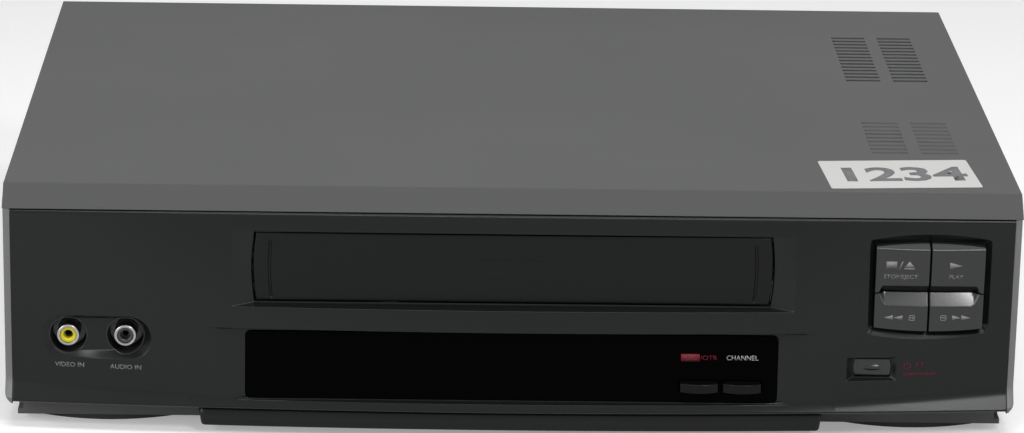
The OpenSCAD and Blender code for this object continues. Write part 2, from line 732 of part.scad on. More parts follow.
// Two-pin inlet with a figure-of-eight cavity
module mains_inlet() color([0.06, 0.06, 0.07]) from_fold() {
    lobe_d = 8.2;
    lobe_x = 3.7;
    floor_y = rear_y - 15;
    difference() {
        union() {
            block([inlet_x - 11, panel_y - 16, inlet_z - 8], [inlet_x + 11, rear_y - 2, inlet_z + 8]);
            block([inlet_x - 12.5, panel_y + rear_t + 0.1, inlet_z - 9.5],
                [inlet_x + 12.5, rear_y - 2, inlet_z + 9.5]);
        }
        for (s = [-1, 1]) rod_y_dir(inlet_x + s * lobe_x, floor_y, inlet_z, lobe_d, 16);
        block([inlet_x - lobe_x, floor_y, inlet_z - lobe_d / 2],
            [inlet_x + lobe_x, rear_y + 1, inlet_z + lobe_d / 2]);
    }
    for (s = [-1, 1]) rod_y_dir(inlet_x + s * 4.3, floor_y - 0.5, inlet_z, 2.4, 10.5);
}

tuner_sockets = [34, 62];
module tuner_module() color("silver") from_fold() {
    difference() {
        union() {
            block([tuner_x - 13, panel_y - 60, 10.2], [tuner_x + 13, panel_y - 0.2, 76]);
            for (z = tuner_sockets) rod_y_dir(tuner_x, panel_y - 1, z, aerial_d, rear_in + rear_t + 0.5);
        }
        block([tuner_x - 12.4, panel_y - 59.4, 12], [tuner_x + 12.4, panel_y - 0.8, 75.4]);
        rod_y_dir(tuner_x, panel_y - 2, tuner_sockets[1], aerial_d - 1.6, 14);
        rod_y_dir(tuner_x, panel_y + 1, tuner_sockets[0], 6.6, 14);
    }
    rod_y_dir(tuner_x, panel_y - 0.9, tuner_sockets[0], 2.3, rear_in + rear_t);
}

module main_board() color([0.42, 0.3, 0.12]) from_fold()
    difference() {
        block([-half_w + 8, 20, board_z], [96, panel_y - 2, board_z + 1.6]);
        for (p = concat(deck_feet, [[-104, 28]])) post(p[0], p[1], board_z - 1, 10, 4);
        for (p = board_posts) post(p[0], p[1], board_z - 1, 3, 4);
    }

module board_components() color([0.1, 0.1, 0.12]) from_fold() {
    z = board_z + 1.6;
    for (p = [[-172, 40], [-172, 66], [-172, 92], [-172, 120], [-172, 146]])
        post(p[0], p[1], z, 10, 16);
    block([-176, 160, z], [-156, 186, z + 3]);
    block([-140, 20.5, z], [-112, 44, z + 3]);
    for (i = [0:4]) block([-60 + i * 24, 22, z], [-46 + i * 24, 36, z + 3]);
}

module power_board() color([0.42, 0.3, 0.12]) from_fold()
    difference() {
        block([psu_x - 34, 50, board_z], [psu_x + 34, panel_y - 2, board_z + 1.6]);
        for (p = power_posts) post(p[0], p[1], board_z - 1, 3, 4);
    }

module transformer() color([0.35, 0.3, 0.2]) from_fold() {
    z = board_z + 1.6;
    block([psu_x - 22, 170, z], [psu_x + 22, 208, z + 9]);
    block([psu_x - 22, 170, z + 9 - eps], [psu_x - 14, 208, z + 33]);
    block([psu_x + 14, 170, z + 9 - eps], [psu_x + 22, 208, z + 33]);
    block([psu_x - 22, 170, z + 33 - eps], [psu_x + 22, 208, z + 40]);
    post(psu_x, 189, z + 9 - eps, 25, 24 + 2 * eps);
}

module heat_sink() color("lightslategray") from_fold() {
    z = board_z + 1.6;
    block([psu_x - 30, 72, z], [psu_x + 30, 75, z + 55]);
    for (i = [0:7])
        block([psu_x - 30 + i * 8.1, 75 - eps, z], [psu_x - 28.4 + i * 8.1, 92, z + 55]);
}

// The deck plate carries the posts that the reels, the rollers and the guides turn on
module deck_plate() color("gainsboro") from_fold() {
    z0 = deck_z - deck_t;
    difference() {
        union() {
            block([-108, 24, z0], [108, drum_y + 40, deck_z]);
            block([-152, 70, z0], [-108 + eps, 150, deck_z]);
        }
        for (p = deck_feet) post(p[0], p[1], z0 - 1, 3, 4);
        post(capstan_x, capstan_y, z0 - 1, 10, 4);
        post(0, clutch_y, z0 - 1, 6, 4);
    }
    both_sides() post(reel_pitch / 2, reel_y, deck_z - eps, 4, 17);
    post(pinch_pivot[0], pinch_pivot[1], deck_z - eps, 4, 27);
    post(cam_x, cam_y, deck_z - eps, 5, 9);
}

// Side plate of the loading frame, with a clear window for the holder's travel
module bracket() {
    x0 = holder_w / 2 + 7;
    t = 1.2;
    top = body_h - 8;
    difference() {
        block([x0, 24, deck_z], [x0 + t, 156, top]);
        block([x0 - 1, 34, deck_z + 8], [x0 + t + 1, 146, top - 8]);
    }
    // Upright in the middle of the frame
    block([x0, 60, deck_z], [x0 + t, 66, top]);
}
module left_bracket() color("gainsboro") from_fold() mirror([1, 0, 0]) bracket();
module right_bracket() color("gainsboro") from_fold() bracket();

// Two guide plates joined by a bar above the holder; they slide towards the drum
module holder_slide() color("silver") from_fold() {
    x0 = holder_w / 2 + 4.4;
    slot_y = holder_y + 50;
    z0 = holder_z - 4;
    z1 = body_h - 6;
    both_sides() difference() {
        block([x0, holder_y + 30, z0 - load_down + 4], [x0 + 1, holder_y + 90, z1]);
        block([x0 - 1, slot_y - 2.3, holder_z + 10 - load_down - 2.3],
            [x0 + 2, slot_y + 2.3, holder_z + 10 + 2.3]);
        block([x0 - 1, slot_y + 25.7, holder_z + 10 - load_down - 2.3],
            [x0 + 2, slot_y + 30.3, holder_z + 10 + 2.3]);
    }
    block([-x0 - 1, holder_y + 66, z1 - 3], [x0 + 1, holder_y + 90, z1 - 2]);
}

// The holder: side walls, ledges under the cassette and a top plate with pins at its sides
module cassette_holder() color("silver") from_fold() {
    x0 = holder_w / 2;
    y1 = holder_y + holder_d;
    z1 = holder_z + holder_t + holder_h;
    both_sides() {
        block([x0, holder_y, holder_z], [x0 + holder_t, y1, z1 + holder_t]);
        block([x0 - 12, holder_y, holder_z], [x0 + holder_t, y1, holder_z + holder_t]);
        for (y = [50, 78])
            translate([x0 + holder_t - eps, holder_y + y, holder_z + 10]) rotate([0, 90, 0])
                cylinder(d = 4, h = 5);
    }
    difference() {
        block([-x0 - holder_t, holder_y, z1], [x0 + holder_t, y1, z1 + holder_t]);
        block([-60, holder_y + 20, z1 - 1], [60, holder_y + 60, z1 + 3]);
    }
}

// The drum's two halves share a tilted axis
module on_drum_axis() translate([0, drum_y, deck_z]) rotate([drum_tilt, 0, 0]) children();
drum_base = 9;
lower_h = 17;
upper_h = 13;
drum_shaft_d = 5;

module lower_drum() color("silver") from_fold() {
    on_drum_axis() difference() {
        union() {
            translate([0, 0, drum_base]) cylinder(d = drum_d, h = lower_h, $fn = 128);
            translate([0, 0, drum_base - 3]) cylinder(d = 30, h = 4);
        }
        translate([0, 0, -3]) cylinder(d = drum_shaft_d + 2 * fit_gap, h = 60);
        translate([0, 0, drum_base + 5]) difference() {
            cylinder(d = drum_d - 8, h = lower_h);
            translate([0, 0, -1]) cylinder(d = 14, h = lower_h + 2);
        }
    }
    for (a = [30, 150, 270])
        intersection() {
            translate([0, drum_y, deck_z]) rotate(a) translate([11, 0, 0])
                cylinder(d = 6, h = drum_base + 2);
            on_drum_axis() translate([0, 0, -20]) cylinder(d = 60, h = 20 + drum_base - 2.9);
        }
}

module upper_drum() color("whitesmoke") from_fold() on_drum_axis() {
    z = drum_base + lower_h + 0.4;
    difference() {
        translate([0, 0, z]) cylinder(d = drum_d, h = upper_h, $fn = 128);
        translate([0, 0, z + 4]) difference() {
            cylinder(d = drum_d - 10, h = upper_h);
            translate([0, 0, -1]) cylinder(d = 16, h = upper_h + 2);
        }
        for (a = [0, 180])
            rotate(a) translate([drum_d / 2 - 2, -2, z - 1]) cube([4, 4, 2.4]);
    }
    translate([0, 0, drum_base - 2]) cylinder(d = drum_shaft_d, h = lower_h + 8);
    translate([0, 0, z + upper_h + 0.2 - eps]) cylinder(d = 20, h = 2);
    translate([0, 0, z + upper_h - 1]) cylinder(d = 8, h = 2);
}

module capstan_shaft() color("whitesmoke") from_fold()
    post(capstan_x, capstan_y, board_z + 2.2, capstan_d, 44);

module capstan_flywheel() color("lightgray") from_fold() {
    z = board_z + 2.6;
    translate([capstan_x, capstan_y, z]) difference() {
        union() {
            cylinder(d = 44, h = 3.4);
            cylinder(d = 24, h = 6.6);
        }
        translate([0, 0, -1]) cylinder(d = capstan_d + 0.01, h = 10);
        translate([0, 0, 4]) difference() {
            cylinder(d = 30, h = 2);
            translate([0, 0, -1]) cylinder(d = 22, h = 4);
        }
    }
}

module capstan_bearing() color("goldenrod") from_fold()
    translate([capstan_x, capstan_y, deck_z - deck_t]) difference() {
        union() {
            cylinder(d = 9.9, h = deck_t + 7);
            translate([0, 0, deck_t]) cylinder(d = 16, h = 2);
        }
        translate([0, 0, -1]) cylinder(d = capstan_d + 2 * fit_gap, h = 20);
    }

// The roller stands clear at rest and swings to the capstan
pinch_shut = [capstan_x + capstan_d / 2 + pinch_r + 0.3, capstan_y];
pinch_dx = pinch_shut[0] - pinch_pivot[0];
pinch_dy = pinch_shut[1] - pinch_pivot[1];
pinch_at = [pinch_pivot[0] + pinch_dx * cos(pinch_open) - pinch_dy * sin(pinch_open),
    pinch_pivot[1] + pinch_dx * sin(pinch_open) + pinch_dy * cos(pinch_open)];

module pinch_arm() color("silver") from_fold()
    difference() {
        union() {
            post(pinch_pivot[0], pinch_pivot[1], deck_z + 22, 9, 4.6);
            hull() {
                post(pinch_pivot[0], pinch_pivot[1], deck_z + 24.6, 9, 2);
                post(pinch_at[0], pinch_at[1], deck_z + 24.6, 7, 2);
            }
            post(pinch_at[0], pinch_at[1], deck_z + 8, 2.4, 18);
        }
        post(pinch_pivot[0], pinch_pivot[1], deck_z - 1, 4 + 2 * fit_gap, 40);
    }

module pinch_roller() color([0.08, 0.08, 0.08]) from_fold()
    translate([pinch_at[0], pinch_at[1], deck_z + 8]) difference() {
        cylinder(r = pinch_r, h = 15);
        translate([0, 0, -1]) cylinder(d = 2.4 + 2 * fit_gap, h = 20);
    }

// A reel table: a disc, a hub and a splined spindle that turn on the deck's post
module reel() difference() {
    union() {
        translate([0, 0, 1]) cylinder(d = reel_d, h = 2.4, $fn = 96);
        cylinder(d = 12, h = 6);
        cylinder(d = 7, h = 18.5);
        for (a = [0, 120, 240])
            rotate(a) translate([0, -0.8, 6 - eps]) cube([4.6, 1.6, 11]);
    }
    translate([0, 0, -1]) cylinder(d = 4 + 2 * fit_gap, h = 18);
}
module supply_reel() color([0.12, 0.12, 0.13]) from_fold()
    translate([-reel_pitch / 2, reel_y, deck_z + 0.4]) reel();
module take_up_reel() color([0.12, 0.12, 0.13]) from_fold()
    translate([reel_pitch / 2, reel_y, deck_z + 0.4]) reel();

module clutch_pulley() color([0.8, 0.8, 0.78]) from_fold()
    translate([0, clutch_y, 0]) difference() {
        union() {
            translate([0, 0, board_z + 5]) cylinder(d = 30, h = 4.2);
            translate([0, 0, board_z + 5]) cylinder(d = 5.92, h = 16);
            translate([0, 0, deck_z + 1]) cylinder(d = 16, h = 3.4);
        }
        translate([0, 0, board_z + 6]) difference() {
            cylinder(d = 34, h = 2.2);
            translate([0, 0, -1]) cylinder(d = 28, h = 5);
        }
    }

// Flat-section belt around the flywheel's groove and the clutch pulley
module belt_outline(grow) hull() {
    translate([capstan_x, capstan_y]) circle(d = 22.6 + grow);
    translate([0, clutch_y]) circle(d = 28.6 + grow);
}
module drive_belt() color([0.05, 0.05, 0.05]) from_fold()
    translate([0, 0, board_z + 6.75]) linear_extrude(1.2) difference() {
        belt_outline(1.6);
        belt_outline(0);
    }

// A guide base with its roller post and a leaning post; it slides beside the drum
guide_from = [36, capstan_y - 12];
guide_to = [50, capstan_y + 20];
module guide() translate([0, 0, deck_z + 0.4]) {
    block([guide_from[0] - 5, guide_from[1] - 6, 0], [guide_from[0] + 5, guide_from[1] + 6, 4]);
    post(guide_from[0], guide_from[1] - 2, 4 - eps, 5.4, 24);
    translate([guide_from[0], guide_from[1] + 3.5, 3.5]) rotate([0, -10, 0]) cylinder(d = 2, h = 20);
}
module supply_guide() color("silver") from_fold() mirror([1, 0, 0]) guide();
module take_up_guide() color("silver") from_fold() guide();

// Erase head on the supply side and sound head on the take-up side
module tape_heads() color([0.6, 0.6, 0.62]) from_fold() {
    post(-72, capstan_y - 2, deck_z, 5, 8);
    block([-77, capstan_y - 7, deck_z + 8 - eps], [-67, capstan_y + 3, deck_z + 24]);
    post(44, drum_y + 4, deck_z, 5, 8);
    block([39, drum_y, deck_z + 8 - eps], [49, drum_y + 8, deck_z + 24]);
}

worm_x = cam_x - 15 - 3.4;
module loading_motor() color("silver") from_fold() {
    block([worm_x - 9, cam_y + 13, deck_z], [worm_x + 9, cam_y + 15, deck_z + 18]);
    rod_y_dir(worm_x, cam_y + 15 - eps, deck_z + 8, 15.6, 24);
}

module worm_gear() color([0.85, 0.85, 0.8]) from_fold() {
    rod_y_dir(worm_x, cam_y - 9, deck_z + 8, 4, 21);
    for (i = [0:6]) rod_y_dir(worm_x, cam_y - 8 + i * 2.4, deck_z + 8, 6.4, 1.2);
}

module cam_gear() color([0.85, 0.85, 0.8]) from_fold()
    translate([cam_x, cam_y, deck_z + 0.4]) difference() {
        union() {
            translate([0, 0, 5]) cylinder(r = 13.4, h = 4);
            for (i = [0:23])
                rotate(i * 15) translate([13, -1, 5]) cube([2, 2, 4]);
            cylinder(d = 10, h = 5.1);
        }
        translate([0, 0, -1]) cylinder(d = 5 + 2 * fit_gap, h = 20);
        translate([0, 0, 7.4]) difference() {
            cylinder(r = 11, h = 3);
            translate([0, 0, -1]) cylinder(r = 5, h = 5);
        }
    }

// A plain stick-on paper label at the front right of the cover
module paper_label() color("white") from_fold()
    translate([label_x, 4.2, body_h]) rotate(label_turn) cube([57.4, 35.2, 0.1]);

top_cover();
base_tray();
front_feet();
rear_feet();
case_screws();
front_panel();
display_window();
cassette_door();
door_hinge_rod();
door_spring();
stop_key();
play_key();
rewind_key();
forward_key();
power_key();
record_key();
channel_key();
key_board();
tact_switches();
display_board();
display_tube();
socket_housing();
video_socket_shell();
audio_socket_shell();
video_socket_insulator();
audio_socket_insulator();
rear_panel();
upper_scart_socket();
lower_scart_socket();
rear_phono_sockets();
mains_inlet();
tuner_module();
main_board();
board_components();
power_board();
transformer();
heat_sink();
deck_plate();
left_bracket();
right_bracket();
holder_slide();
cassette_holder();
lower_drum();
upper_drum();
capstan_shaft();
capstan_flywheel();
capstan_bearing();
pinch_arm();
pinch_roller();
supply_reel();
take_up_reel();
clutch_pulley();
drive_belt();
supply_guide();
take_up_guide();
tape_heads();
loading_motor();
worm_gear();
cam_gear();
paper_label();
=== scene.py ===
"""Front-loading video cassette recorder: its surfaces, finishes, light and camera.

Shapes are worked out in millimetres: x to the right, y backwards from the fold line along the
cover's top front edge, z up from the floor. place() turns them into the frame's metres.
"""

import json
import math

import bmesh
import bpy
import numpy as np
from mathutils import Matrix, Vector

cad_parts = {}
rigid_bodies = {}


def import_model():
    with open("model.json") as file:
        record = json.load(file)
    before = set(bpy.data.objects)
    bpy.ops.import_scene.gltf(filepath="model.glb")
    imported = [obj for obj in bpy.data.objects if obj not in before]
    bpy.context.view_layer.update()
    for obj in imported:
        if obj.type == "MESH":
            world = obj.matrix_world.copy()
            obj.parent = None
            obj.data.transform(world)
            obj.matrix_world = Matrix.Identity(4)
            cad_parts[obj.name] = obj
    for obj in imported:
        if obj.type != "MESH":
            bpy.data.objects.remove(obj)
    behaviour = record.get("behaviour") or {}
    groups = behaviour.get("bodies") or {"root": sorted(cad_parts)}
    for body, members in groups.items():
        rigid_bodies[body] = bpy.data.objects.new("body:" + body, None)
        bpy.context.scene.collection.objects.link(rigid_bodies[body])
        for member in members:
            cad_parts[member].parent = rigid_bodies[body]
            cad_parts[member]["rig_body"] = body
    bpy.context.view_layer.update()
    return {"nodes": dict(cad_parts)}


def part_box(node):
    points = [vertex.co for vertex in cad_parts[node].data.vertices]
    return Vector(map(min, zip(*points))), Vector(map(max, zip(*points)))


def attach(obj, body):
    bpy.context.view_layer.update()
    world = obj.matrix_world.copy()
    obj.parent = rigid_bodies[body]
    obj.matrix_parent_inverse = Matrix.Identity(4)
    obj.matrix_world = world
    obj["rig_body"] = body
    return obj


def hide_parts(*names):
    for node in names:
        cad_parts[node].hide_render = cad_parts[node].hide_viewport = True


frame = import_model()
scene = bpy.context.scene

# Sizes taken from the frame
MM = 0.001
FOLD_RUN, FOLD_DROP = 8.0, 7.7
FOLD_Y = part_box("top_cover")[0].y / MM + FOLD_RUN


def node_box(name):
    """Low and high corner of a CAD node, in millimetres from the fold line."""
    return [np.array(c) / MM - [0, FOLD_Y, 0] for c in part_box(name)]


HALF_W, _, BODY_H = node_box("top_cover")[1]
panel_lo = node_box("front_panel")[0]
door_lo, door_hi = node_box("cassette_door")
EDGE_W = 3.0
COVER_GAP = 0.3
FACE_HALF = HALF_W - EDGE_W
FACE_TOP = BODY_H - FOLD_DROP - COVER_GAP
FACE_BLEND = 1.2
LIP_Z = 11.4
LIP_REACH = 4.6
LIP_BOW = -panel_lo[1] - FOLD_RUN - LIP_REACH
LIP_SLOPE = math.tan(math.radians(60))
BOW_TOP, BOW_LOW = 1.5, 11.1
CHIN_HALF = 117.5
CHIN_Z = 3.4

DOOR_Y = door_lo[1]
DOOR_Z, DOOR_TOP = door_lo[2], door_hi[2] - 4.4
DOOR_HALF = door_hi[0]
WINDOW_LEAN = math.tan(math.radians(4.8))
WINDOW_Y, WINDOW_Z = -15.0, 15.3
WINDOW_TOP = node_box("display_window")[1][2]

SOCKET_X, SOCKET_Z, SOCKET_PITCH = 34.7 - HALF_W, 37.4, 21.3


def place(points):
    """Millimetres from the fold line to the frame's metres."""
    p = np.array(points, float)
    p[..., 1] += FOLD_Y
    return p * MM


# The bowed front as functions
def bow_at(z):
    """Forward bow at mid width: it grows downwards from the top edge as 1 - (1 - t) ** 1.6."""
    t = (FACE_TOP - z) / (FACE_TOP - LIP_Z - 2)
    return BOW_TOP + (BOW_LOW - BOW_TOP) * (1 - np.maximum(0, 1 - t) ** 1.6)


def sag(x):
    """Share of the bow at a place along the width: a parabola, one in the middle, none at the ends."""
    return 1 - np.minimum(1, np.abs(x) / FACE_HALF) ** 2


def lip_y(x):
    """The lip's foremost line: straight back at the ends and bowed forward in the middle."""
    return -FOLD_RUN - LIP_REACH - LIP_BOW * sag(x)


def front_y(x, z):
    """The face, blended into the lip's 60 degree slope by a smooth minimum."""
    face = -FOLD_RUN - bow_at(z) * sag(x)
    slope = lip_y(x) + (z - LIP_Z) / LIP_SLOPE
    h = np.clip(0.5 + 0.5 * (slope - face) / FACE_BLEND, 0, 1)
    return slope * (1 - h) + face * h - FACE_BLEND * h * (1 - h)


def window_y(x, z):
    """The window's plane, which leans back."""
    return WINDOW_Y + (z - WINDOW_Z) * WINDOW_LEAN + 0 * x


def rounding(d, r):
    """How far a surface falls back at a distance d from an edge rounded with radius r."""
    d = np.clip(d, 0, r)
    return r - np.sqrt(np.maximum(0, r * r - (r - d) ** 2))


# Mesh making
def grid_faces(rows, cols, wrap=False):
    """Quads of a grid of points, row after row; wrap joins the last column to the first."""
    i, j = np.meshgrid(np.arange(rows - 1), np.arange(cols if wrap else cols - 1), indexing="ij")
    a = i * cols + j
    b = i * cols + (j + 1) % cols
    return np.stack([a, b, b + cols, a + cols], -1).reshape(-1, 4).tolist()


def closing(rows, cols):
    """Quads from a wrapped grid's last row back to its first, which make it a solid ring."""
    n = cols * (rows - 1)
    return [[n + j, n + (j + 1) % cols, (j + 1) % cols, j] for j in range(cols)]


def band(n):
    """Quads between two closed loops of n points each."""
    return [[i, (i + 1) % n, n + (i + 1) % n, n + i] for i in range(n)]


def end_faces(n, last):
    """The faces that close a stack of loops of n points at its first loop and at the last one."""
    return [list(range(n))[::-1], [last * n + k for k in range(n)]]


def join(*parts):
    """Several (points, faces) as one."""
    points, faces, n = [], [], 0
    for p, f in parts:
        p = np.asarray(p, float).reshape(-1, 3)
        points.append(p)
        faces += [[k + n for k in face] for face in f]
        n += len(p)
    return np.concatenate(points), faces


def turned(part):
    """The same shape with its faces turned round."""
    return part[0], [face[::-1] for face in part[1]]


def mirrored(part):
    """The same shape at the other side."""
    p, f = turned(part)
    return np.array(p, float).reshape(-1, 3) * [-1, 1, 1], f


def added(name, data):
    """A new object in the scene."""
    obj = bpy.data.objects.new(name, data)
    scene.collection.objects.link(obj)
    return obj


def piece(name, part, body, material, slot=None, sharp=32, wall=0.0, merge=0.002):
    """A mesh piece that rides on a body. Doubles are merged; edges past `sharp` degrees stay crisp."""
    points, faces = part
    mesh = bpy.data.meshes.new(name)
    mesh.from_pydata(place(np.asarray(points).reshape(-1, 3)).tolist(), [], faces)
    mesh.validate()
    obj = added(name, mesh)
    smoothed(mesh, merge * MM, sharp)
    mesh.materials.append(material)
    if wall:
        solid = obj.modifiers.new("wall", "SOLIDIFY")
        solid.thickness, solid.offset = wall * MM, -1
    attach(obj, body)
    return obj


def smoothed(mesh, distance, sharp, flat=0.0):
    """Doubles merged, faces that meet under `flat` degrees joined, edges past `sharp` degrees crisp."""
    bm = bmesh.new()
    bm.from_mesh(mesh)
    bmesh.ops.remove_doubles(bm, verts=bm.verts, dist=distance)
    if flat:
        bmesh.ops.dissolve_limit(bm, angle_limit=math.radians(flat), verts=bm.verts, edges=bm.edges)
    bm.to_mesh(mesh)
    bm.free()
    mesh.polygons.foreach_set("use_smooth", [True] * len(mesh.polygons))
    mesh.set_sharp_from_angle(angle=math.radians(sharp))


# Points along each side and each corner of an outline
SIDE, CORNER = 48, 8


def ring(x0, x1, z0, z1, r, top=0.0, bottom=0.0, side=0.0, flare=0.0):
    """A closed outline seen from the front, run anticlockwise: a rectangle with rounded corners.

    Mid length its top rises by `top`, its bottom drops by `bottom` and its sides swell by
    `side`, each as a parabola; `flare` widens it at its top, in proportion to the height.
    """
    cx, cz, a, b = (x0 + x1) / 2, (z0 + z1) / 2, (x1 - x0) / 2, (z1 - z0) / 2
    t = np.linspace(-1, 1, SIDE)
    q = np.linspace(0, math.pi / 2, CORNER + 2)[1:-1]
    long, high = (a - r) * t, (b - r) * t
    turn = np.stack([np.sin(q), -np.cos(q)], 1) * r
    parts = [
        np.stack([long, -b + 0 * t], 1), turn + [a - r, r - b],
        np.stack([a + 0 * t, high], 1), turn[:, ::-1] * [-1, 1] + [a - r, b - r],
        np.stack([-long, b + 0 * t], 1), -turn + [r - a, b - r],
        np.stack([-a + 0 * t, -high], 1), turn[:, ::-1] * [1, -1] + [r - a, r - b],
    ]
    u, v = (np.concatenate(parts) / [a, b]).T
    x = cx + u * a + side * u * (1 - v * v) + flare * u * (v + 1) / 2
    z = cz + v * b + (1 - u * u) * (top * (1 + v) / 2 - bottom * (1 - v) / 2)
    return np.stack([x, z], 1)


def at_y(outline, y):
    """An outline at a depth: a number, or a function of x and z."""
    x, z = outline[:, 0], outline[:, 1]
    depth = y(x, z) if callable(y) else np.full(len(x), float(y))
    return np.stack([x, depth, z], 1)


def loft(rings):
    """The skin between outlines, from the outermost inwards."""
    return np.concatenate(rings), grid_faces(len(rings), len(rings[0]), wrap=True)


def relief(x, z, y, back):
    """A closed block whose front is the height field y on a grid and whose rim goes back to `back`."""
    rows, cols = x.shape
    front = np.stack([x, y, z], -1).reshape(-1, 3)
    k = np.arange(rows * cols).reshape(rows, cols)
    rim = np.concatenate([k[0, :-1], k[:-1, -1], k[-1, :0:-1], k[:0:-1, 0]])
    rear = front[rim].copy()
    rear[:, 1] = back
    n, m = rows * cols, len(rim)
    walls = [[rim[i], n + i, n + (i + 1) % m, rim[(i + 1) % m]] for i in range(m)]
    rear_face = [n + i for i in range(m)][::-1]
    return np.concatenate([front, rear]), grid_faces(rows, cols) + walls + [rear_face]


def steps(lo, hi, pitch, r=0.0, extra=()):
    """Grid lines from lo to hi at about a pitch, closer where both ends are rounded by r, and extra ones."""
    n = max(2, int(round((hi - lo) / pitch)) + 1)
    near = r * np.array([0.06, 0.2, 0.45, 0.75, 1.0])
    extra = np.concatenate([lo + near, hi - near, extra])
    lines = np.concatenate([np.linspace(lo, hi, n), extra[(extra > lo) & (extra < hi)]])
    lines = np.unique(np.round(lines, 4))
    return lines[np.append(True, np.diff(lines) > 0.04)]


def tube(profile, segments, centre, wrap=False):
    """A profile of (radius, y) turned around an axis along Y through centre (x, z); wrap closes it."""
    profile = np.array(profile, float)
    a = np.linspace(0, 2 * math.pi, segments, endpoint=False)
    p = np.stack([
        centre[0] + profile[:, :1] * np.cos(a),
        np.repeat(profile[:, 1:2], segments, 1),
        centre[1] + profile[:, :1] * np.sin(a)], -1)
    faces = grid_faces(len(profile), segments, wrap=True)
    if wrap:
        faces += closing(len(profile), segments)
    return p.reshape(-1, 3), faces


def prism(outline, x0, x1):
    """A (y, z) outline carried straight along X from x0 to x1, closed at both ends."""
    o = np.array(outline, float)
    n = len(o)
    p = np.concatenate([np.insert(o, 0, x0, 1), np.insert(o, 0, x1, 1)])
    return p, band(n) + end_faces(n, 1)


# Finishes
def set_inputs(node, values):
    """Gives a node's inputs their numbers, by the inputs' names."""
    for key, value in values.items():
        node.inputs[key].default_value = value


def group(name, inputs, outputs):
    """An empty shader node group with float sockets, and its two end nodes."""
    tree = bpy.data.node_groups.new(name, "ShaderNodeTree")
    for key, value in inputs.items():
        socket = tree.interface.new_socket(key, in_out="INPUT", socket_type="NodeSocketFloat")
        socket.default_value = value
    for key in outputs:
        tree.interface.new_socket(key, in_out="OUTPUT", socket_type="NodeSocketFloat")
    return tree, tree.nodes.new("NodeGroupInput"), tree.nodes.new("NodeGroupOutput")


def maths(tree, op, a, b=0.0, c=0.0, clamp=False):
    """A math node fed by sockets or numbers."""
    node = tree.nodes.new("ShaderNodeMath")
    node.operation, node.use_clamp = op, clamp
    for socket, value in zip(node.inputs, (a, b, c)):
        if isinstance(value, (int, float)):
            socket.default_value = value
        else:
            tree.links.new(value, socket)
    return node.outputs[0]


def stretched(tree, stretch):
    """Object coordinates, squeezed along each axis by stretch."""
    coords = tree.nodes.new("ShaderNodeTexCoord")
    mapping = tree.nodes.new("ShaderNodeMapping")
    mapping.inputs["Scale"].default_value = stretch
    tree.links.new(coords.outputs["Object"], mapping.inputs["Vector"])
    return mapping.outputs[0]


def noise(tree, vector, scale, detail, rough):
    """Noise from 0 to 1, whose scale comes from a socket."""
    node = tree.nodes.new("ShaderNodeTexNoise")
    tree.links.new(vector, node.inputs["Vector"])
    tree.links.new(scale, node.inputs["Scale"])
    set_inputs(node, {"Detail": detail, "Roughness": rough})
    return node.outputs["Fac"]


def grain_group(name, stretch):
    """Fine surface grain: small noise for height, wide noise for patches of tone."""
    tree, gin, gout = group(name, {"Scale": 3000.0, "Patch": 25.0}, ["Height", "Tone"])
    vector = stretched(tree, stretch)
    fine = noise(tree, vector, gin.outputs["Scale"], 4.0, 0.6)
    wide = noise(tree, vector, gin.outputs["Patch"], 3.0, 0.5)
    tree.links.new(fine, gout.inputs["Height"])
    mix = maths(tree, "ADD", maths(tree, "MULTIPLY", fine, 0.35), maths(tree, "MULTIPLY", wide, 0.65))
    tree.links.new(maths(tree, "MULTIPLY_ADD", mix, 2.2, -0.6, clamp=True), gout.inputs["Tone"])
    return tree


def specks_group():
    """Dust specks and lint: small cells whose random value passes a limit, kept near their middle."""
    tree, gin, gout = group("specks", {"Scale": 260.0, "Share": 0.04, "Size": 0.16}, ["Mask"])
    cells = tree.nodes.new("ShaderNodeTexVoronoi")
    tree.links.new(stretched(tree, (1, 1, 1)), cells.inputs["Vector"])
    tree.links.new(gin.outputs["Scale"], cells.inputs["Scale"])
    parts = tree.nodes.new("ShaderNodeSeparateColor")
    tree.links.new(cells.outputs["Color"], parts.inputs[0])
    chosen = maths(tree, "LESS_THAN", parts.outputs[0], gin.outputs["Share"])
    small = maths(tree, "LESS_THAN", cells.outputs["Distance"],
                  maths(tree, "MULTIPLY", gin.outputs["Size"], parts.outputs[1]))
    tree.links.new(maths(tree, "MULTIPLY", chosen, small), gout.inputs["Mask"])
    return tree


GRAIN = grain_group("grain", (1, 1, 1))
BRUSHED = {axis: grain_group("brushed along " + axis, stretch) for axis, stretch in
           {"x": (0.03, 1, 1), "y": (1, 0.03, 1), "z": (1, 1, 0.03)}.items()}
SPECKS = specks_group()


def placed_group(tree, kind, **values):
    """A group node in a material, with its sockets' numbers."""
    node = tree.nodes.new("ShaderNodeGroup")
    node.node_tree = kind
    set_inputs(node, values)
    return node


def blend_colour(tree, factor, a, b):
    """Colour b laid over colour a by a factor; each is a colour or a socket."""
    node = tree.nodes.new("ShaderNodeMix")
    node.data_type = "RGBA"
    for socket, value in ((node.inputs["Factor"], factor), (node.inputs[6], a), (node.inputs[7], b)):
        if isinstance(value, bpy.types.NodeSocket):
            tree.links.new(value, socket)
        else:
            socket.default_value = value if isinstance(value, float) else (*value, 1.0)
    return node.outputs[2]


DUST_COLOUR = (0.55, 0.54, 0.52)


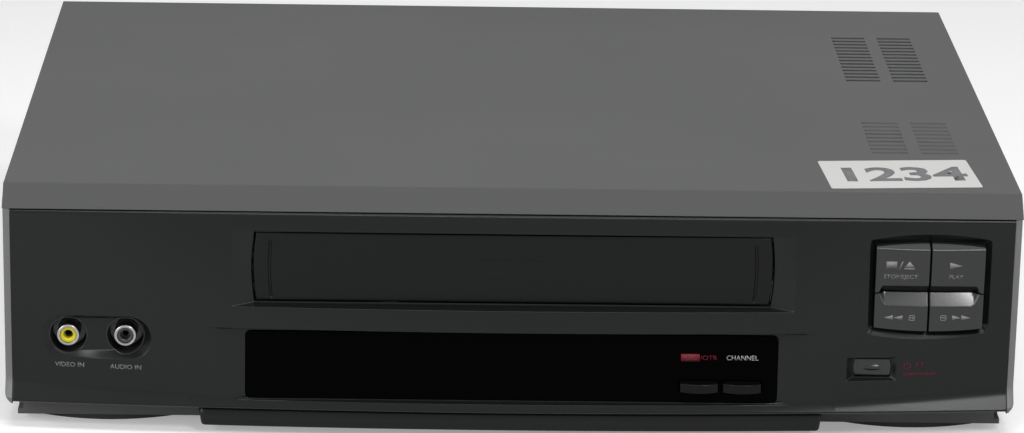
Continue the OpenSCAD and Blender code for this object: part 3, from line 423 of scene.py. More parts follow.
def finish(name, colour, rough, tone, grain, height, nodes="", metal=0.0, spread=0.06, patch=25.0,
           brushed=None, dust=0.0, dust_scale=260.0, specular=0.5, coat=0.0):
    """A procedural material for the CAD nodes that are named, or for pieces only.

    The colour varies by a share `tone`, the roughness by `spread`; the grain is `height` mm deep.
    """
    material = bpy.data.materials.new(name)
    material.use_nodes = True
    tree = material.node_tree
    shader = tree.nodes["Principled BSDF"]
    colour = np.array(colour, float)
    texture = placed_group(tree, BRUSHED[brushed] if brushed else GRAIN, Scale=grain, Patch=patch)
    base = blend_colour(tree, texture.outputs["Tone"], tuple(colour * (1 - tone)),
                        tuple(np.minimum(1, colour * (1 + tone))))
    if dust:
        specks = placed_group(tree, SPECKS, Scale=dust_scale, Share=dust)
        base = blend_colour(tree, specks.outputs["Mask"], base, DUST_COLOUR)
    tree.links.new(base, shader.inputs["Base Color"])
    uneven = maths(tree, "MULTIPLY_ADD", texture.outputs["Tone"], spread * 2, rough - spread, clamp=True)
    tree.links.new(uneven, shader.inputs["Roughness"])
    bump = tree.nodes.new("ShaderNodeBump")
    set_inputs(bump, {"Strength": 0.6, "Distance": height * MM})
    tree.links.new(texture.outputs["Height"], bump.inputs["Height"])
    tree.links.new(bump.outputs[0], shader.inputs["Normal"])
    set_inputs(shader, {"Metallic": metal, "Specular IOR Level": specular, "Coat Weight": coat,
                        "Coat Roughness": 0.1})
    material.diffuse_color = (*colour, 1.0)
    for node in nodes.split():
        frame["nodes"][node].data.materials.clear()
        frame["nodes"][node].data.materials.append(material)
    return material


# Each with its roughness, tone, grain and height, then its nodes and what differs from the usual
finish("satin grey paint", (0.073, 0.0735, 0.0745), 0.6, 0.04, 2600, 0.012, "top_cover", patch=9,
       dust=0.004, dust_scale=90, specular=0.2)
panel_lacquer = finish("graphite lacquer", (0.009, 0.0099, 0.0102), 0.23, 0.05, 5200, 0.004,
                       "front_panel", metal=0.1, spread=0.03, patch=14, dust=0.005, dust_scale=120,
                       specular=0.2)
# Lacquer for the end bars: a much paler copy of the face's graphite lacquer, a painted highlight for the side
# light that the chamfered ends catch
painted_highlight_lacquer = finish("edge lacquer paled as painted highlight", (0.13, 0.132, 0.133), 0.42, 0.05, 5200, 0.005, metal=0.35,
                      spread=0.03, patch=14, dust=0.01, dust_scale=120, specular=0.3)
door_lacquer = finish("dark door lacquer", (0.007, 0.0075, 0.0075), 0.32, 0.04, 5200, 0.005,
                      "cassette_door", metal=0.1, spread=0.03, patch=14, dust=0.01, dust_scale=120,
                      specular=0.14)
finish("black window gloss", (0.0006, 0.0006, 0.0007), 0.06, 0.1, 900, 0.0006, "display_window",
       spread=0.02, dust=0.003, dust_scale=110, specular=0.012)
key_lacquer = finish("key lacquer", (0.012, 0.013, 0.013), 0.24, 0.05, 5200, 0.005,
                     "stop_key play_key rewind_key forward_key power_key", metal=0.15, spread=0.03,
                     dust=0.006, dust_scale=200, specular=0.35, coat=0.25)
finish("bar key lacquer", (0.003, 0.003, 0.003), 0.22, 0.05, 5200, 0.004, "record_key channel_key",
       specular=0.12)
cup_plastic = finish("black socket housing", (0.014, 0.014, 0.015), 0.32, 0.1, 2000, 0.01)
finish("moulded black tray", (0.12, 0.122, 0.125), 0.6, 0.15, 1700, 0.04, "base_tray")
finish("soft black rubber", (0.022, 0.0225, 0.024), 0.72, 0.15, 2200, 0.05, "front_feet rear_feet")
black_plastic = finish("black moulded plastic", (0.028, 0.028, 0.03), 0.45, 0.15, 2000, 0.03,
                       "tact_switches socket_housing upper_scart_socket lower_scart_socket mains_inlet "
                       "board_components supply_reel take_up_reel")
nickel = finish("nickel plate", (0.3, 0.3, 0.29), 0.28, 0.05, 900, 0.002,
                "video_socket_shell audio_socket_shell rear_phono_sockets", metal=1.0, spread=0.05)
finish("bright steel", (0.6, 0.6, 0.61), 0.24, 0.06, 2500, 0.004,
       "door_hinge_rod door_spring capstan_shaft supply_guide take_up_guide tape_heads", metal=1.0,
       brushed="x")
finish("zinc plate", (0.55, 0.56, 0.55), 0.35, 0.1, 1800, 0.006,
       "deck_plate left_bracket right_bracket holder_slide cassette_holder pinch_arm", metal=1.0,
       patch=60, brushed="y")
finish("plated screw", (0.45, 0.45, 0.45), 0.32, 0.12, 1500, 0.006, "case_screws", metal=1.0)
finish("rear grey paint", (0.16, 0.16, 0.164), 0.5, 0.05, 2400, 0.015, "rear_panel", dust=0.008,
       dust_scale=120, specular=0.4)
yellow_plastic = finish("yellow insulator", (0.72, 0.62, 0.015), 0.3, 0.08, 1500, 0.004,
                        "video_socket_insulator")
black_insulator = finish("black insulator", (0.02, 0.02, 0.02), 0.25, 0.1, 1500, 0.004,
                         "audio_socket_insulator")
finish("brown laminate", (0.3, 0.18, 0.07), 0.5, 0.15, 1500, 0.01, "key_board main_board power_board",
       brushed="x")
finish("green laminate", (0.03, 0.14, 0.06), 0.4, 0.12, 1500, 0.01, "display_board")
finish("dark tube glass", (0.05, 0.09, 0.09), 0.1, 0.05, 600, 0.001, "display_tube", coat=0.3)
finish("tin plate", (0.6, 0.6, 0.58), 0.36, 0.1, 1500, 0.006, "tuner_module loading_motor", metal=1.0,
       brushed="z")
finish("laminated core", (0.12, 0.11, 0.1), 0.55, 0.2, 1200, 0.03, "transformer", brushed="x")
finish("extruded aluminium", (0.62, 0.63, 0.64), 0.34, 0.06, 2200, 0.006, "heat_sink", metal=1.0,
       brushed="z")
finish("turned aluminium", (0.74, 0.74, 0.76), 0.2, 0.04, 4000, 0.003, "lower_drum upper_drum", metal=1.0,
       brushed="x")
finish("turned zinc", (0.5, 0.5, 0.5), 0.34, 0.08, 2600, 0.006, "capstan_flywheel", metal=1.0)
finish("sintered bronze", (0.5, 0.34, 0.15), 0.42, 0.12, 3000, 0.012, "capstan_bearing", metal=1.0)
finish("ground rubber", (0.035, 0.035, 0.035), 0.7, 0.15, 2600, 0.03, "pinch_roller drive_belt")
finish("natural white plastic", (0.72, 0.71, 0.65), 0.4, 0.05, 1800, 0.008,
       "clutch_pulley worm_gear cam_gear")
paper = finish("white paper", (0.58, 0.58, 0.57), 0.75, 0.03, 1400, 0.02, "paper_label")
white_ink = finish("white print", (0.46, 0.47, 0.46), 0.5, 0.06, 2500, 0.002, specular=0.12)
silver_ink = finish("silver grey print", (0.27, 0.275, 0.265), 0.5, 0.06, 2500, 0.002, specular=0.12)
red_ink = finish("red print", (0.22, 0.018, 0.034), 0.5, 0.08, 2500, 0.002, specular=0.12)
dark_red_ink = finish("dark red print", (0.17, 0.012, 0.026), 0.5, 0.08, 2500, 0.002, specular=0.12)
black_ink = finish("black print", (0.03, 0.028, 0.03), 0.55, 0.15, 2500, 0.002)
grey_ink = finish("grey label print", (0.115, 0.115, 0.12), 0.6, 0.15, 2500, 0.002)

REFINED_ANGLE = 30
SEAM = 2e-6


def refined(name, width):
    """A CAD node's mesh with its seams merged and its edges rounded, standing for the node."""
    node = frame["nodes"][name]
    mesh = node.data.copy()
    if mesh.has_custom_normals:
        for key in [a.name for a in mesh.attributes if a.name == "custom_normal"]:
            mesh.attributes.remove(mesh.attributes[key])
    smoothed(mesh, SEAM, REFINED_ANGLE, flat=0.5)
    obj = added("rounded_" + name, mesh)
    bevel = obj.modifiers.new("rounded edges", "BEVEL")
    bevel.width, bevel.segments = width * MM, 2
    bevel.limit_method, bevel.angle_limit = "ANGLE", math.radians(REFINED_ANGLE)
    bevel.harden_normals = True
    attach(obj, node["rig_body"])
    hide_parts(name)
    return obj


# Front face: the patches of its grid that recesses take, as (x0, x1, z0, z1)
PATCHES = {
    "window": (-122.0, 122.0, 12.9, 46.4),
    "door": (-122.0, 122.0, 46.4, 82.6),
    "keys": (129.6, 181.8, 37.2, 83.6),
    "power": (122.8, 147.2, 21.4, 36.6),
    "sockets": (-178.6, -132.2, 26.8, 47.4),
}
R_TOP, R_LIP = 1.1, 1.2
# A recess's outline has to stay this far inside its patch
FRAME_IN = 1.6


def face_lines():
    """The grid lines of the face: columns across, and rows from the lip's rounding up to the top's."""
    x0, x1, z0, z1 = zip(*PATCHES.values())
    xs = steps(-FACE_HALF, FACE_HALF, 3.0, 0.5, x0 + x1)
    return xs, steps(LIP_Z + R_LIP, FACE_TOP - R_TOP, 2.5, extra=[*z0, *z1, *np.arange(12.9, 21, 0.5)])


def face_grid(xs, zs):
    """The face around its recesses: rows from under the cover down over the lip to its underside.

    Each column is a quarter round over the top edge, the bowed face and a quarter round over the
    lip. Cells inside a recess's patch are left out.
    """
    fall = rounding(FACE_HALF - np.abs(xs), 0.2)
    top, low = zs[-1], zs[0]
    a = np.linspace(math.pi / 2, 0, 7)[:, None]
    b = np.linspace(0, math.pi / 2, 7)[:, None]
    back = (0 * xs - 4.5)[None]
    y = np.concatenate([
        back, front_y(xs, top) + fall + R_TOP * (1 - np.cos(a)), front_y(xs, zs[-2:0:-1, None]) + fall,
        front_y(xs, low) + fall + R_LIP * (1 - np.cos(b)), back])
    z = np.concatenate([
        [FACE_TOP], (top + R_TOP * np.sin(a))[:, 0], zs[-2:0:-1], (low - R_LIP * np.sin(b))[:, 0], [LIP_Z]])
    # A wall at each end, down the groove beside the end bar
    y = np.concatenate([y[:, :1] + 2.2, y, y[:, -1:] + 2.2], 1)
    x = np.broadcast_to(np.concatenate([[xs[0]], xs, [xs[-1]]]), y.shape)
    z = np.broadcast_to(z[:, None], y.shape)
    faces = np.array(grid_faces(*y.shape))
    mid_x, mid_y, mid_z = (v.ravel()[faces].mean(1) for v in (x, y, z))
    inside = np.zeros(len(faces), bool)
    for x0, x1, z0, z1 in PATCHES.values():
        inside |= (mid_x > x0) & (mid_x < x1) & (mid_z > z0) & (mid_z < z1) & (mid_y < -5)
    return np.stack([x, y, z], -1).reshape(-1, 3), faces[~inside][:, ::-1].tolist()


def loop_along(box, u, v):
    """Points run anticlockwise along a rectangle at the lines u and v, and their places along it."""
    x0, x1, z0, z1 = box
    u = u[(u > x0 - 0.01) & (u < x1 + 0.01)]
    v = v[(v > z0 - 0.01) & (v < z1 + 0.01)]
    x = np.concatenate([u[:-1], np.full(len(v) - 1, x1), u[:0:-1], np.full(len(v) - 1, x0)])
    z = np.concatenate([np.full(len(u) - 1, z0), v[:-1], np.full(len(u) - 1, z1), v[:0:-1]])
    t = np.concatenate([(u[:-1] - x0) / (x1 - x0), 1 + (v[:-1] - z0) / (z1 - z0),
                        2 + (x1 - u[:0:-1]) / (x1 - x0), 3 + (z1 - v[:0:-1]) / (z1 - z0)])
    return np.stack([x, z], 1), t


def zipped(outer_t, inner_t, outer, inner):
    """Triangles between two closed loops, from their points' places along the outline (0 to 4)."""
    m, n = len(outer_t), len(inner_t)
    ends = np.concatenate([np.append(outer_t[1:], 4), np.append(inner_t[1:], 4)])
    order = np.argsort(ends, kind="stable")
    on_outer = order < m
    i, j = np.cumsum(on_outer), np.cumsum(~on_outer)
    i0, j0 = i - on_outer, j - ~on_outer
    third = np.where(on_outer, outer + i % m, inner + j % n)
    return np.stack([outer + i0 % m, third, inner + j0 % n], 1).tolist()


# Places along a ring's points: each side's run, and its corner at the next whole number
SIDE_T = np.concatenate([np.linspace(0.01, 0.99, SIDE), np.full(CORNER, 1.0)])
RING_T = (np.arange(4)[:, None] + SIDE_T).ravel()


def patched(key, opening, grow, rest):
    """A recess's skin: the grid's points along its patch, rings that blend to the opening, then the rest.

    opening(d) is the opening's outline grown by d; grow is how far out its rounded edge starts.
    """
    box = PATCHES[key]
    edge, places = loop_along(box, *LINES)
    frame_ring = ring(*grown(box, -FRAME_IN), 1.0)
    start = opening(grow)
    blends = [at_y(frame_ring * (1 - s) + start * s, front_y) for s in (0.0, 0.3, 0.6, 0.85, 1.0)]
    points, faces = loft(blends + rest)
    edge = at_y(edge, front_y)
    faces = [[k + len(edge) for k in f] for f in faces]
    return np.concatenate([edge, points]), zipped(places, RING_T, 0, len(edge)) + faces


def pushed(surface, dy):
    """A surface y(x, z) moved back by dy."""
    return lambda x, z: surface(x, z) + dy


def grown(box, d):
    """Box corners (x0, x1, z0, z1) grown by d at each side."""
    return box[0] - d, box[1] + d, box[2] - d, box[3] + d


def recess(key, box, r, shape, floor_box, floor_r, floor_shape, floor_y, depth, edge):
    """A sunk opening: a rounded edge in the face, a sloped wall, and a rim around the floor's hole."""
    def opening(d):
        return ring(*grown(box, d), r + max(d, 0), **shape)

    floor = ring(*floor_box, floor_r, **floor_shape)
    inner = ring(*grown(floor_box, -0.3), max(0.3, floor_r - 0.3), **floor_shape)
    wall = [at_y(opening(edge * d), pushed(front_y, edge * dy)) for d, dy in
            ((0.5, 0.04), (0.2, 0.14), (0.0, 0.3))]
    high, low = at_y(opening(0), pushed(front_y, edge * 0.3)), at_y(floor, floor_y)
    wall += [high * 0.85 + low * 0.15, high * 0.15 + low * 0.85, low]
    wall += [at_y(inner, pushed(floor_y, 0.12)), at_y(inner, pushed(floor_y, depth))]
    return patched(key, opening, edge, wall)


def flat_y(y):
    """A flat surface at the depth y."""
    return lambda x, z: y + 0 * x


WINDOW_LOW_HALF, WINDOW_HIGH_HALF = 105.4, 116.6
RECESS_Z, RECESS_TOP = 15.0, WINDOW_TOP + 1.3
SCOOP_HALF = 100.0


def window_patch():
    """The window's recess: slanted sides and an eyebrow over a leaning floor, then the pane's hole."""
    pane = (-99.6, 99.6, WINDOW_Z - 0.15, WINDOW_TOP + 0.1)

    def opening(d):
        box = (-WINDOW_LOW_HALF, WINDOW_LOW_HALF, RECESS_Z, RECESS_TOP)
        return ring(*grown(box, d), 0.9 + max(d, -0.5), flare=WINDOW_HIGH_HALF - WINDOW_LOW_HALF)

    def scooped(dy):
        """The leaning floor in the middle; towards the slanted ends it rises smoothly into the face."""
        def surface(x, z):
            up = (z - RECESS_Z) / (RECESS_TOP - RECESS_Z)
            half = WINDOW_LOW_HALF + up * (WINDOW_HIGH_HALF - WINDOW_LOW_HALF)
            t = np.clip((np.abs(x) - SCOOP_HALF) / (half - SCOOP_HALF - 0.6), 0, 1)
            t = t * t * (3 - 2 * t)
            return (window_y(x, z) + 0.3 + dy) * (1 - t) + front_y(x, z) * t
        return surface

    def eyebrow(dy):
        """The face, moved back by dy where the scooped floor lies behind it."""
        return lambda x, z: front_y(x, z) + dy * (scooped(0)(x, z) > front_y(x, z) + 0.2)

    pane_edge = ring(*grown(pane, 0.2), 2.2)
    rest = [at_y(opening(d), eyebrow(dy)) for d, dy in ((0.2, 0.02), (0.08, 0.06), (0.0, 0.15))]
    rest += [at_y(opening(-0.25), scooped(-0.3)), at_y(opening(-0.45), scooped(0))]
    rest += [at_y(opening(-0.45) * (1 - s) + pane_edge * s, scooped(0))
             for s in (0.15, 0.3, 0.45, 0.6, 0.8, 1.0)]
    rest += [at_y(ring(*pane, 2.0), scooped(0.2)), at_y(ring(*pane, 2.0), scooped(2.2))]
    return patched("window", opening, 0.4, rest)


def door_patch():
    """The cassette opening: flared sides, a ledge that slopes down forwards, and a slim top edge."""
    box = (-105.0, 105.0, DOOR_Z - 1.1, DOOR_TOP + 0.75)
    hole = (-DOOR_HALF - 0.2, DOOR_HALF + 0.2, DOOR_Z - 0.5, DOOR_TOP + 0.5)
    return recess("door", box, 0.6, {}, hole, 0.5, {"side": 1.1}, flat_y(DOOR_Y), 4.0, 0.4)


KEYS_BOX = (132.9, 178.6, 42.2, 78.3)
POWER_X0, POWER_X1 = 125.6, 144.5


def keys_patch():
    """The tape keys' recess: its floor follows the face, and it bulges at its top and bottom."""
    lo, hi = node_box("rewind_key")[0], node_box("play_key")[1]
    hole = (lo[0] - 0.45, hi[0] + 0.45, lo[2] - 0.6, hi[2] + 0.5)
    return recess("keys", KEYS_BOX, 1.0, {"top": 2.2, "bottom": 2.1}, hole, 0.8,
                  {"top": 1.1, "bottom": 1.4}, pushed(front_y, 1.9), 6.0, 0.12)


def power_patch():
    """The power key's recess: a shallow one with a flat floor."""
    lo, hi = node_box("power_key")
    box = (POWER_X0, POWER_X1, lo[2] - 0.9, hi[2] + 1.1)
    hole = (lo[0] - 0.2, hi[0] + 0.2, lo[2] - 0.45, hi[2] + 0.45)
    return recess("power", box, 0.4, {}, hole, 0.9, {"side": 0.6}, flat_y(-10.6), 4.0, 0.12)


SOCKET_R, SOCKET_HALF, SOCKET_FLOOR, CUP_R = 8.25, 12.4, -8.4, 7.05
# A cup's rim as (radius beyond CUP_R, depth behind the slope), then its wall and floor as (radius, y)
CUP_RIM = ((0.2, 0.1), (0.04, -0.05), (-0.15, -0.02), (-0.28, 0.25))
CUP_WALL = ((CUP_R - 0.32, -4.0), (CUP_R - 0.7, -1.0), (CUP_R - 1.1, -0.8), (4.35, -0.8), (4.35, 0.6),
            (CUP_R + 0.2, 0.6))


def socket_y(x, z):
    """The sockets' recess: from the face down a crisp slope to the floor, inside an oblong.

    The slope's width goes from 1.5 above to 2.6 below, by the direction from the oblong's middle line.
    """
    dx = np.maximum(np.abs(x - SOCKET_X) - SOCKET_HALF, 0)
    dz = z - SOCKET_Z + 0.1
    q = np.maximum(np.hypot(dx, dz), 1e-6)
    inset = 2.05 - 0.55 * dz / q + 0.75 * dx / q
    t = np.clip((SOCKET_R - q) / inset, 0, 1)
    face = front_y(x, z)
    return face + (SOCKET_FLOOR - face) * t


def socket_patch():
    """The sockets' recess as a fine grid whose points near each cup's edge are moved onto it."""
    box = PATCHES["sockets"]
    x0, x1, z0, z1 = grown(box, -1.2)
    u, v = np.linspace(x0, x1, 176), np.linspace(z0, z1, 73)
    x, z = np.meshgrid(u, v)
    keep = np.ones(x.shape, bool)
    for s in (-0.5, 0.5):
        cx = SOCKET_X + s * SOCKET_PITCH
        d = np.maximum(np.hypot(x - cx, z - SOCKET_Z), 1e-6)
        onto = np.where(np.abs(d - CUP_R) < 0.14, CUP_R / d, 1.0)
        x, z = cx + (x - cx) * onto, SOCKET_Z + (z - SOCKET_Z) * onto
        keep &= np.hypot(x - cx, z - SOCKET_Z) > CUP_R - 0.01
    points = np.stack([x, socket_y(x, z), z], -1).reshape(-1, 3)
    faces = np.array(grid_faces(*x.shape))
    inside = keep.ravel()[faces].all(1)
    edge, places = loop_along(box, *LINES)
    rim, rim_places = loop_along((x0, x1, z0, z1), u, v)
    edge, rim = at_y(edge, front_y), at_y(rim, front_y)
    seam = zipped(places, rim_places, 0, len(edge))
    return join((points, faces[inside].tolist()), (np.concatenate([edge, rim]), seam))


LINES = face_lines()
front = join(face_grid(*LINES), window_patch(), door_patch(), keys_patch(), power_patch(), socket_patch())
face = piece("front_face", front, "casing", panel_lacquer, "panel_plastic", wall=1.2, sharp=24, merge=0.01)
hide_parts("front_panel")


def cup(centre_x):
    """A cup's wall: its rim follows the recess's slope, then it goes back to a floor with a round hole."""
    a = np.linspace(0, 2 * math.pi, 97)[:-1]
    c, s = np.cos(a), np.sin(a)
    slope = socket_y(centre_x + CUP_R * c, SOCKET_Z + CUP_R * s)
    rows = [(CUP_R + d, slope + dy) for d, dy in CUP_RIM] + [(r, 0 * c + y) for r, y in CUP_WALL]
    rings = [np.stack([centre_x + r * c, y, SOCKET_Z + r * s], 1) for r, y in rows]
    points, faces = loft(rings)
    return points, faces + closing(len(rings), len(a))


piece("socket_cups", join(cup(SOCKET_X - SOCKET_PITCH / 2), cup(SOCKET_X + SOCKET_PITCH / 2)), "casing",
      cup_plastic, "black_plastic")


# The sockets' profiles as (radius, depth behind the rim): a barrel with a thick rounded rim, the
# insulator in it and a dark contact in the bore
SOCKET_RIM, SOCKET_BACK = (corner[1] for corner in node_box("video_socket_shell"))
BARREL_LONG = SOCKET_BACK - SOCKET_RIM
BARREL = [(4.15, BARREL_LONG), (4.15, 0.35), (4.05, 0.14), (3.83, 0), (3.45, 0), (3.17, 0.12),
          (3.07, 0.4), (3.07, 1.0), (3.45, 1.2), (3.45, BARREL_LONG)]
CORE = [(3.0, 7), (3.04, 0.75), (2.9, 0.62), (2.1, 0.6), (1.85, 0.8), (1.75, 1.1), (1.75, 7)]
CONTACT = [(1.74, 3.4), (1.2, 3.4), (1.05, 3.6), (0.95, 3.8), (0.95, 7), (1.74, 7)]


def sleeve(name, at, profile, segments, *look):
    """A piece from a closed profile, turned around a socket's axis."""
    rows = [(r, SOCKET_RIM + y) for r, y in profile]
    return piece(name, tube(rows, segments, at, wrap=True), "casing", *look)


for name, s, core_finish in (("video", -0.5, yellow_plastic), ("audio", 0.5, black_insulator)):
    at = (SOCKET_X + s * SOCKET_PITCH, SOCKET_Z)
    shell = sleeve(name + "_barrel", at, BARREL, 64, nickel, "socket_plate")
    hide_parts(name + "_socket_shell")
    core = sleeve(name + "_core", at, CORE, 48, core_finish)
    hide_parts(name + "_socket_insulator")
    sleeve(name + "_contact", at, CONTACT, 32, black_insulator)

BAR_ROUND = 3.8


def end_bar():
    """The chamfered bar at the right end: a section that follows the lip, carried up the side.

    Its top follows the cover's fold and its lower outer corner is rounded.
    """
    x0 = FACE_HALF + 0.03
    cham = HALF_W - x0 - 0.2
    z = np.concatenate([LIP_Z - 1.2 + np.array([0, 0.3, 0.8, 1.6, 2.6, BAR_ROUND]), np.arange(14.4, 20, 0.6),
                        np.linspace(20.6, FACE_TOP - 0.4, 8)])
    front = front_y(FACE_HALF, np.maximum(z, LIP_Z + R_LIP)) + 0.12
    short = rounding(z - z[0], BAR_ROUND)
    outer = HALF_W - np.minimum(short, cham - 0.7)
    front = front + 0.5 * short
    rows = [np.stack([np.array([x0, x0, x0 + 0.2, o - 0.2, o, o]),
                      np.array([2.2, f + 0.2, f, f + o - x0 - 0.4, f + o - x0, 2.2]), np.full(6, h)], 1)
            for o, f, h in zip(outer, front, z)]
    top = rows[-1].copy()
    top[:, 2] = np.minimum(FACE_TOP - 0.3 + (top[:, 1] + FOLD_RUN) * 0.9, BODY_H - 1.5)
    points, faces = loft(rows + [top])
    return points, faces + end_faces(len(top), len(rows))


bar = end_bar()
# The end bars get the paler lacquer, a painted highlight on their chamfered ends
piece("front_end_bars", join(bar, mirrored(bar)), "casing", painted_highlight_lacquer, "panel_plastic", sharp=20)


def chin():
    """The deep middle under the lip: its front follows the lip's bow, set back, with rounded ends."""
    end = np.array([0, 0.002, 0.005, 0.01, 0.016])
    u = np.concatenate([end - 1, np.linspace(-0.97, 0.97, 61), 1 - end[::-1]])
    x = CHIN_HALF * u
    front = lip_y(x) + 3.6 + rounding((1 - np.abs(u)) * CHIN_HALF, 1.6)
    z = np.array([LIP_Z + 0.8, CHIN_Z + 1.0, CHIN_Z + 0.35, CHIN_Z + 0.08, CHIN_Z, CHIN_Z])
    taper = np.array([0.0, 1.0, 1.2, 1.5, 2.0, 2.0])
    back = np.array([0.0, 0.4, 0.55, 0.85, 1.4, 12.0])
    xs = x * (1 - taper[:, None] / CHIN_HALF)
    ys = np.minimum(front + back[:, None], 0.0)
    p = np.stack([xs, ys, np.broadcast_to(z[:, None], xs.shape)], -1)
    return p.reshape(-1, 3), [f[::-1] for f in grid_faces(*xs.shape)]


piece("front_chin", chin(), "casing", panel_lacquer, "panel_plastic", wall=1.6)


# Door
GROOVE_X, GROOVE_Z, GROOVE_HALF, GROOVE_R = 90, 64.4, 10.7, 0.62
BADGE_HALF, BADGE_Z0, BADGE_Z1 = 13.2, 61.5, 68.4


def door_front():
    """The flap: flat, with gently swelling sides, rounded edges, two fine grooves and a bare badge."""
    half, mid, high = DOOR_HALF - 0.8, (DOOR_Z + DOOR_TOP) / 2, (DOOR_TOP - DOOR_Z) / 2 - 0.15
    r = 0.7
    around = [GROOVE_X + d for d in (-0.6, -0.4, -0.2, 0, 0.2, 0.4, 0.6)] + [13.05, 13.3, 13.55]
    x_lines = steps(-half, half, 2.5, r, around + [-x for x in around])
    z_lines = steps(mid - high, mid + high, 1.5, r,
                    [53.2, 53.5, 53.8, 74.9, 75.2, 75.6, 61.4, 61.7, 68.2, 68.5])[::-1]
    x, z = np.meshgrid(x_lines, z_lines)
    y = DOOR_Y + rounding(np.minimum(half - np.abs(x), high - np.abs(z - mid)), r)
    along = np.clip(np.abs(z - GROOVE_Z) - GROOVE_HALF, 0, None)
    groove = np.clip(1 - (np.hypot(np.abs(x) - GROOVE_X, along) / GROOVE_R) ** 2, 0, 1)
    badge = (np.abs(x) < BADGE_HALF) & (z > BADGE_Z0) & (z < BADGE_Z1)
    y = y + 0.5 * groove + 0.15 * badge
    swell = 1 + 0.011 * (1 - ((z - mid) / high) ** 2) * np.clip((np.abs(x) - 60) / 36, 0, 1)
    return relief(x * swell, z, y, DOOR_Y + 2.2)


def door_back():
    """Arms and knuckles behind the flap, on the hinge rod's axis."""
    rod_lo, rod_hi = node_box("door_hinge_rod")
    rod_y, rod_z = (rod_lo[1] + rod_hi[1]) / 2, (rod_lo[2] + rod_hi[2]) / 2
    x1 = DOOR_HALF - 1
    a = np.linspace(0, 2 * math.pi, 33)[:-1]
    knuckle = prism(np.stack([rod_y + 2.2 * np.cos(a), rod_z + 2.2 * np.sin(a)], 1), x1 - 7, x1)

    def bar(y0, y1, z0, z1, inner, outer):
        return prism([(y0, z0), (y1, z0), (y1, z1), (y0, z1)], inner, outer)

    web = bar(DOOR_Y + 0.9, rod_y + 1, DOOR_TOP - 6, rod_z, x1 - 7, x1)
    rib = bar(DOOR_Y + 2, DOOR_Y + 5.4, DOOR_Z + 3, DOOR_TOP - 1, x1 - 7, x1 - 5.8)
    right = join(knuckle, web, rib)
    return join(right, mirrored(right))


flap = piece("door_flap", door_front(), "door", door_lacquer, "door_plastic", sharp=40)
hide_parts("cassette_door")
piece("door_knuckles", door_back(), "door", black_plastic, "door_plastic")


# Keys
def ramp(q, soft):
    """Nought below zero and q above it, with a rounded corner."""
    return (q + np.sqrt(q * q + soft * soft)) / 2


def tape_key(node, outer, upper):
    """A tape key as a height field: a swelling front and a notch towards the other row.

    Its outer edge follows an arc across both keys of the row. The upper keys' top falls back
    steeply above a nearly straight crease. The notch's depth is the lesser of its slope and of
    a facet at its outer end.
    """
    lo, hi = node_box(node)
    x0, x1 = lo[0] + 0.12, hi[0] - 0.12
    x, z = np.meshgrid(steps(x0, x1, 0.4, 0.35), steps(lo[2], hi[2], 0.25, 0.3)[::-1])
    mid = (lo[2] + hi[2]) / 2
    arc = 1 - ((x - KEYS_X) / 20.6) ** 2

    def front(px, pz):
        return lo[1] + (pz - mid) ** 2 / 420 + 0.5 * ((px - KEYS_X) / 21) ** 2

    y = front(x, z) + rounding(np.minimum(x - x0, x1 - x), 0.35)
    from_end = (x - x0) if outer < 0 else (x1 - x)
    share = (z - lo[2]) / (hi[2] - lo[2])
    if upper:
        y = y + 1.6 * ramp(z - hi[2] + 0.5 + 1.3 * arc, 0.2) + rounding(z - lo[2], 0.25)
        t = np.clip((lo[2] + 3.0 - z) / 3.0, 0, 1)
        depth, hip = 2.7 * ramp(lo[2] + 3.0 - z, 0.06) / 3.0, (from_end - 2.7 + 1.3 * t) * 2.1
        z = z + arc * share
    else:
        y = y + rounding(z - lo[2], 0.35)
        t = np.clip((z - hi[2] + 4.5) / 4.5, 0, 1)
        depth, hip = 2.7 * ramp(z - hi[2] + 4.5, 0.06) / 4.5, (from_end - 3.5 + 2.0 * t) * 1.25
        z = z - 1.2 * arc * (1 - share)
    return relief(x, z, y + np.minimum(depth, np.clip(hip, 0, None)), -4.0), front


def stem(node, d):
    """The round stem behind a key, as far as its CAD node reaches."""
    lo, hi = node_box(node)
    profile = [(0.01, hi[1]), (d / 2, hi[1]), (d / 2, -5.0), (0.01, -5.0)]
    return turned(tube(profile, 24, ((lo[0] + hi[0]) / 2, (lo[2] + hi[2]) / 2)))


KEYS_X = (node_box("stop_key")[0][0] + node_box("play_key")[1][0]) / 2
KEYS = {"stop_key": (-1, True), "play_key": (1, True), "rewind_key": (-1, False), "forward_key": (1, False)}
key_front = {}
for node, (outer, upper) in KEYS.items():
    cap, key_front[node] = tape_key(node, outer, upper)
    obj = piece(node + "_cap", join(cap, stem(node, 4.0)), node, key_lacquer, "key_plastic", sharp=40)
    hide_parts(node)


def power_cap():
    """The power key: swelling sides and a raised lens in the middle of its front."""
    lo, hi = node_box("power_key")
    cx, cz = (lo[0] + hi[0]) / 2, (lo[2] + hi[2]) / 2
    r = 0.6
    x, z = np.meshgrid(steps(lo[0], hi[0], 0.25, r), steps(lo[2], hi[2], 0.12, r)[::-1])
    d = np.minimum(np.minimum(x - lo[0], hi[0] - x), np.minimum(z - lo[2], hi[2] - z))
    q = ((x - cx) / 3.75) ** 2 + ((z - cz) / 1.15) ** 2
    y = lo[1] + 0.55 + (z - cz) ** 2 / 60 + rounding(d, r) - 0.55 * np.clip(1 - q, 0, None)
    swell = 0.55 * (1 - ((z - cz) / (hi[2] - cz)) ** 2)
    x = x + swell * np.sign(x - cx) * (np.abs(x - cx) > 4.5)
    return relief(x, z, y, -4.0)


cap = piece("power_key_cap", join(power_cap(), stem("power_key", 3.0)), "power_key", key_lacquer,
            "key_plastic", sharp=40)
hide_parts("power_key")

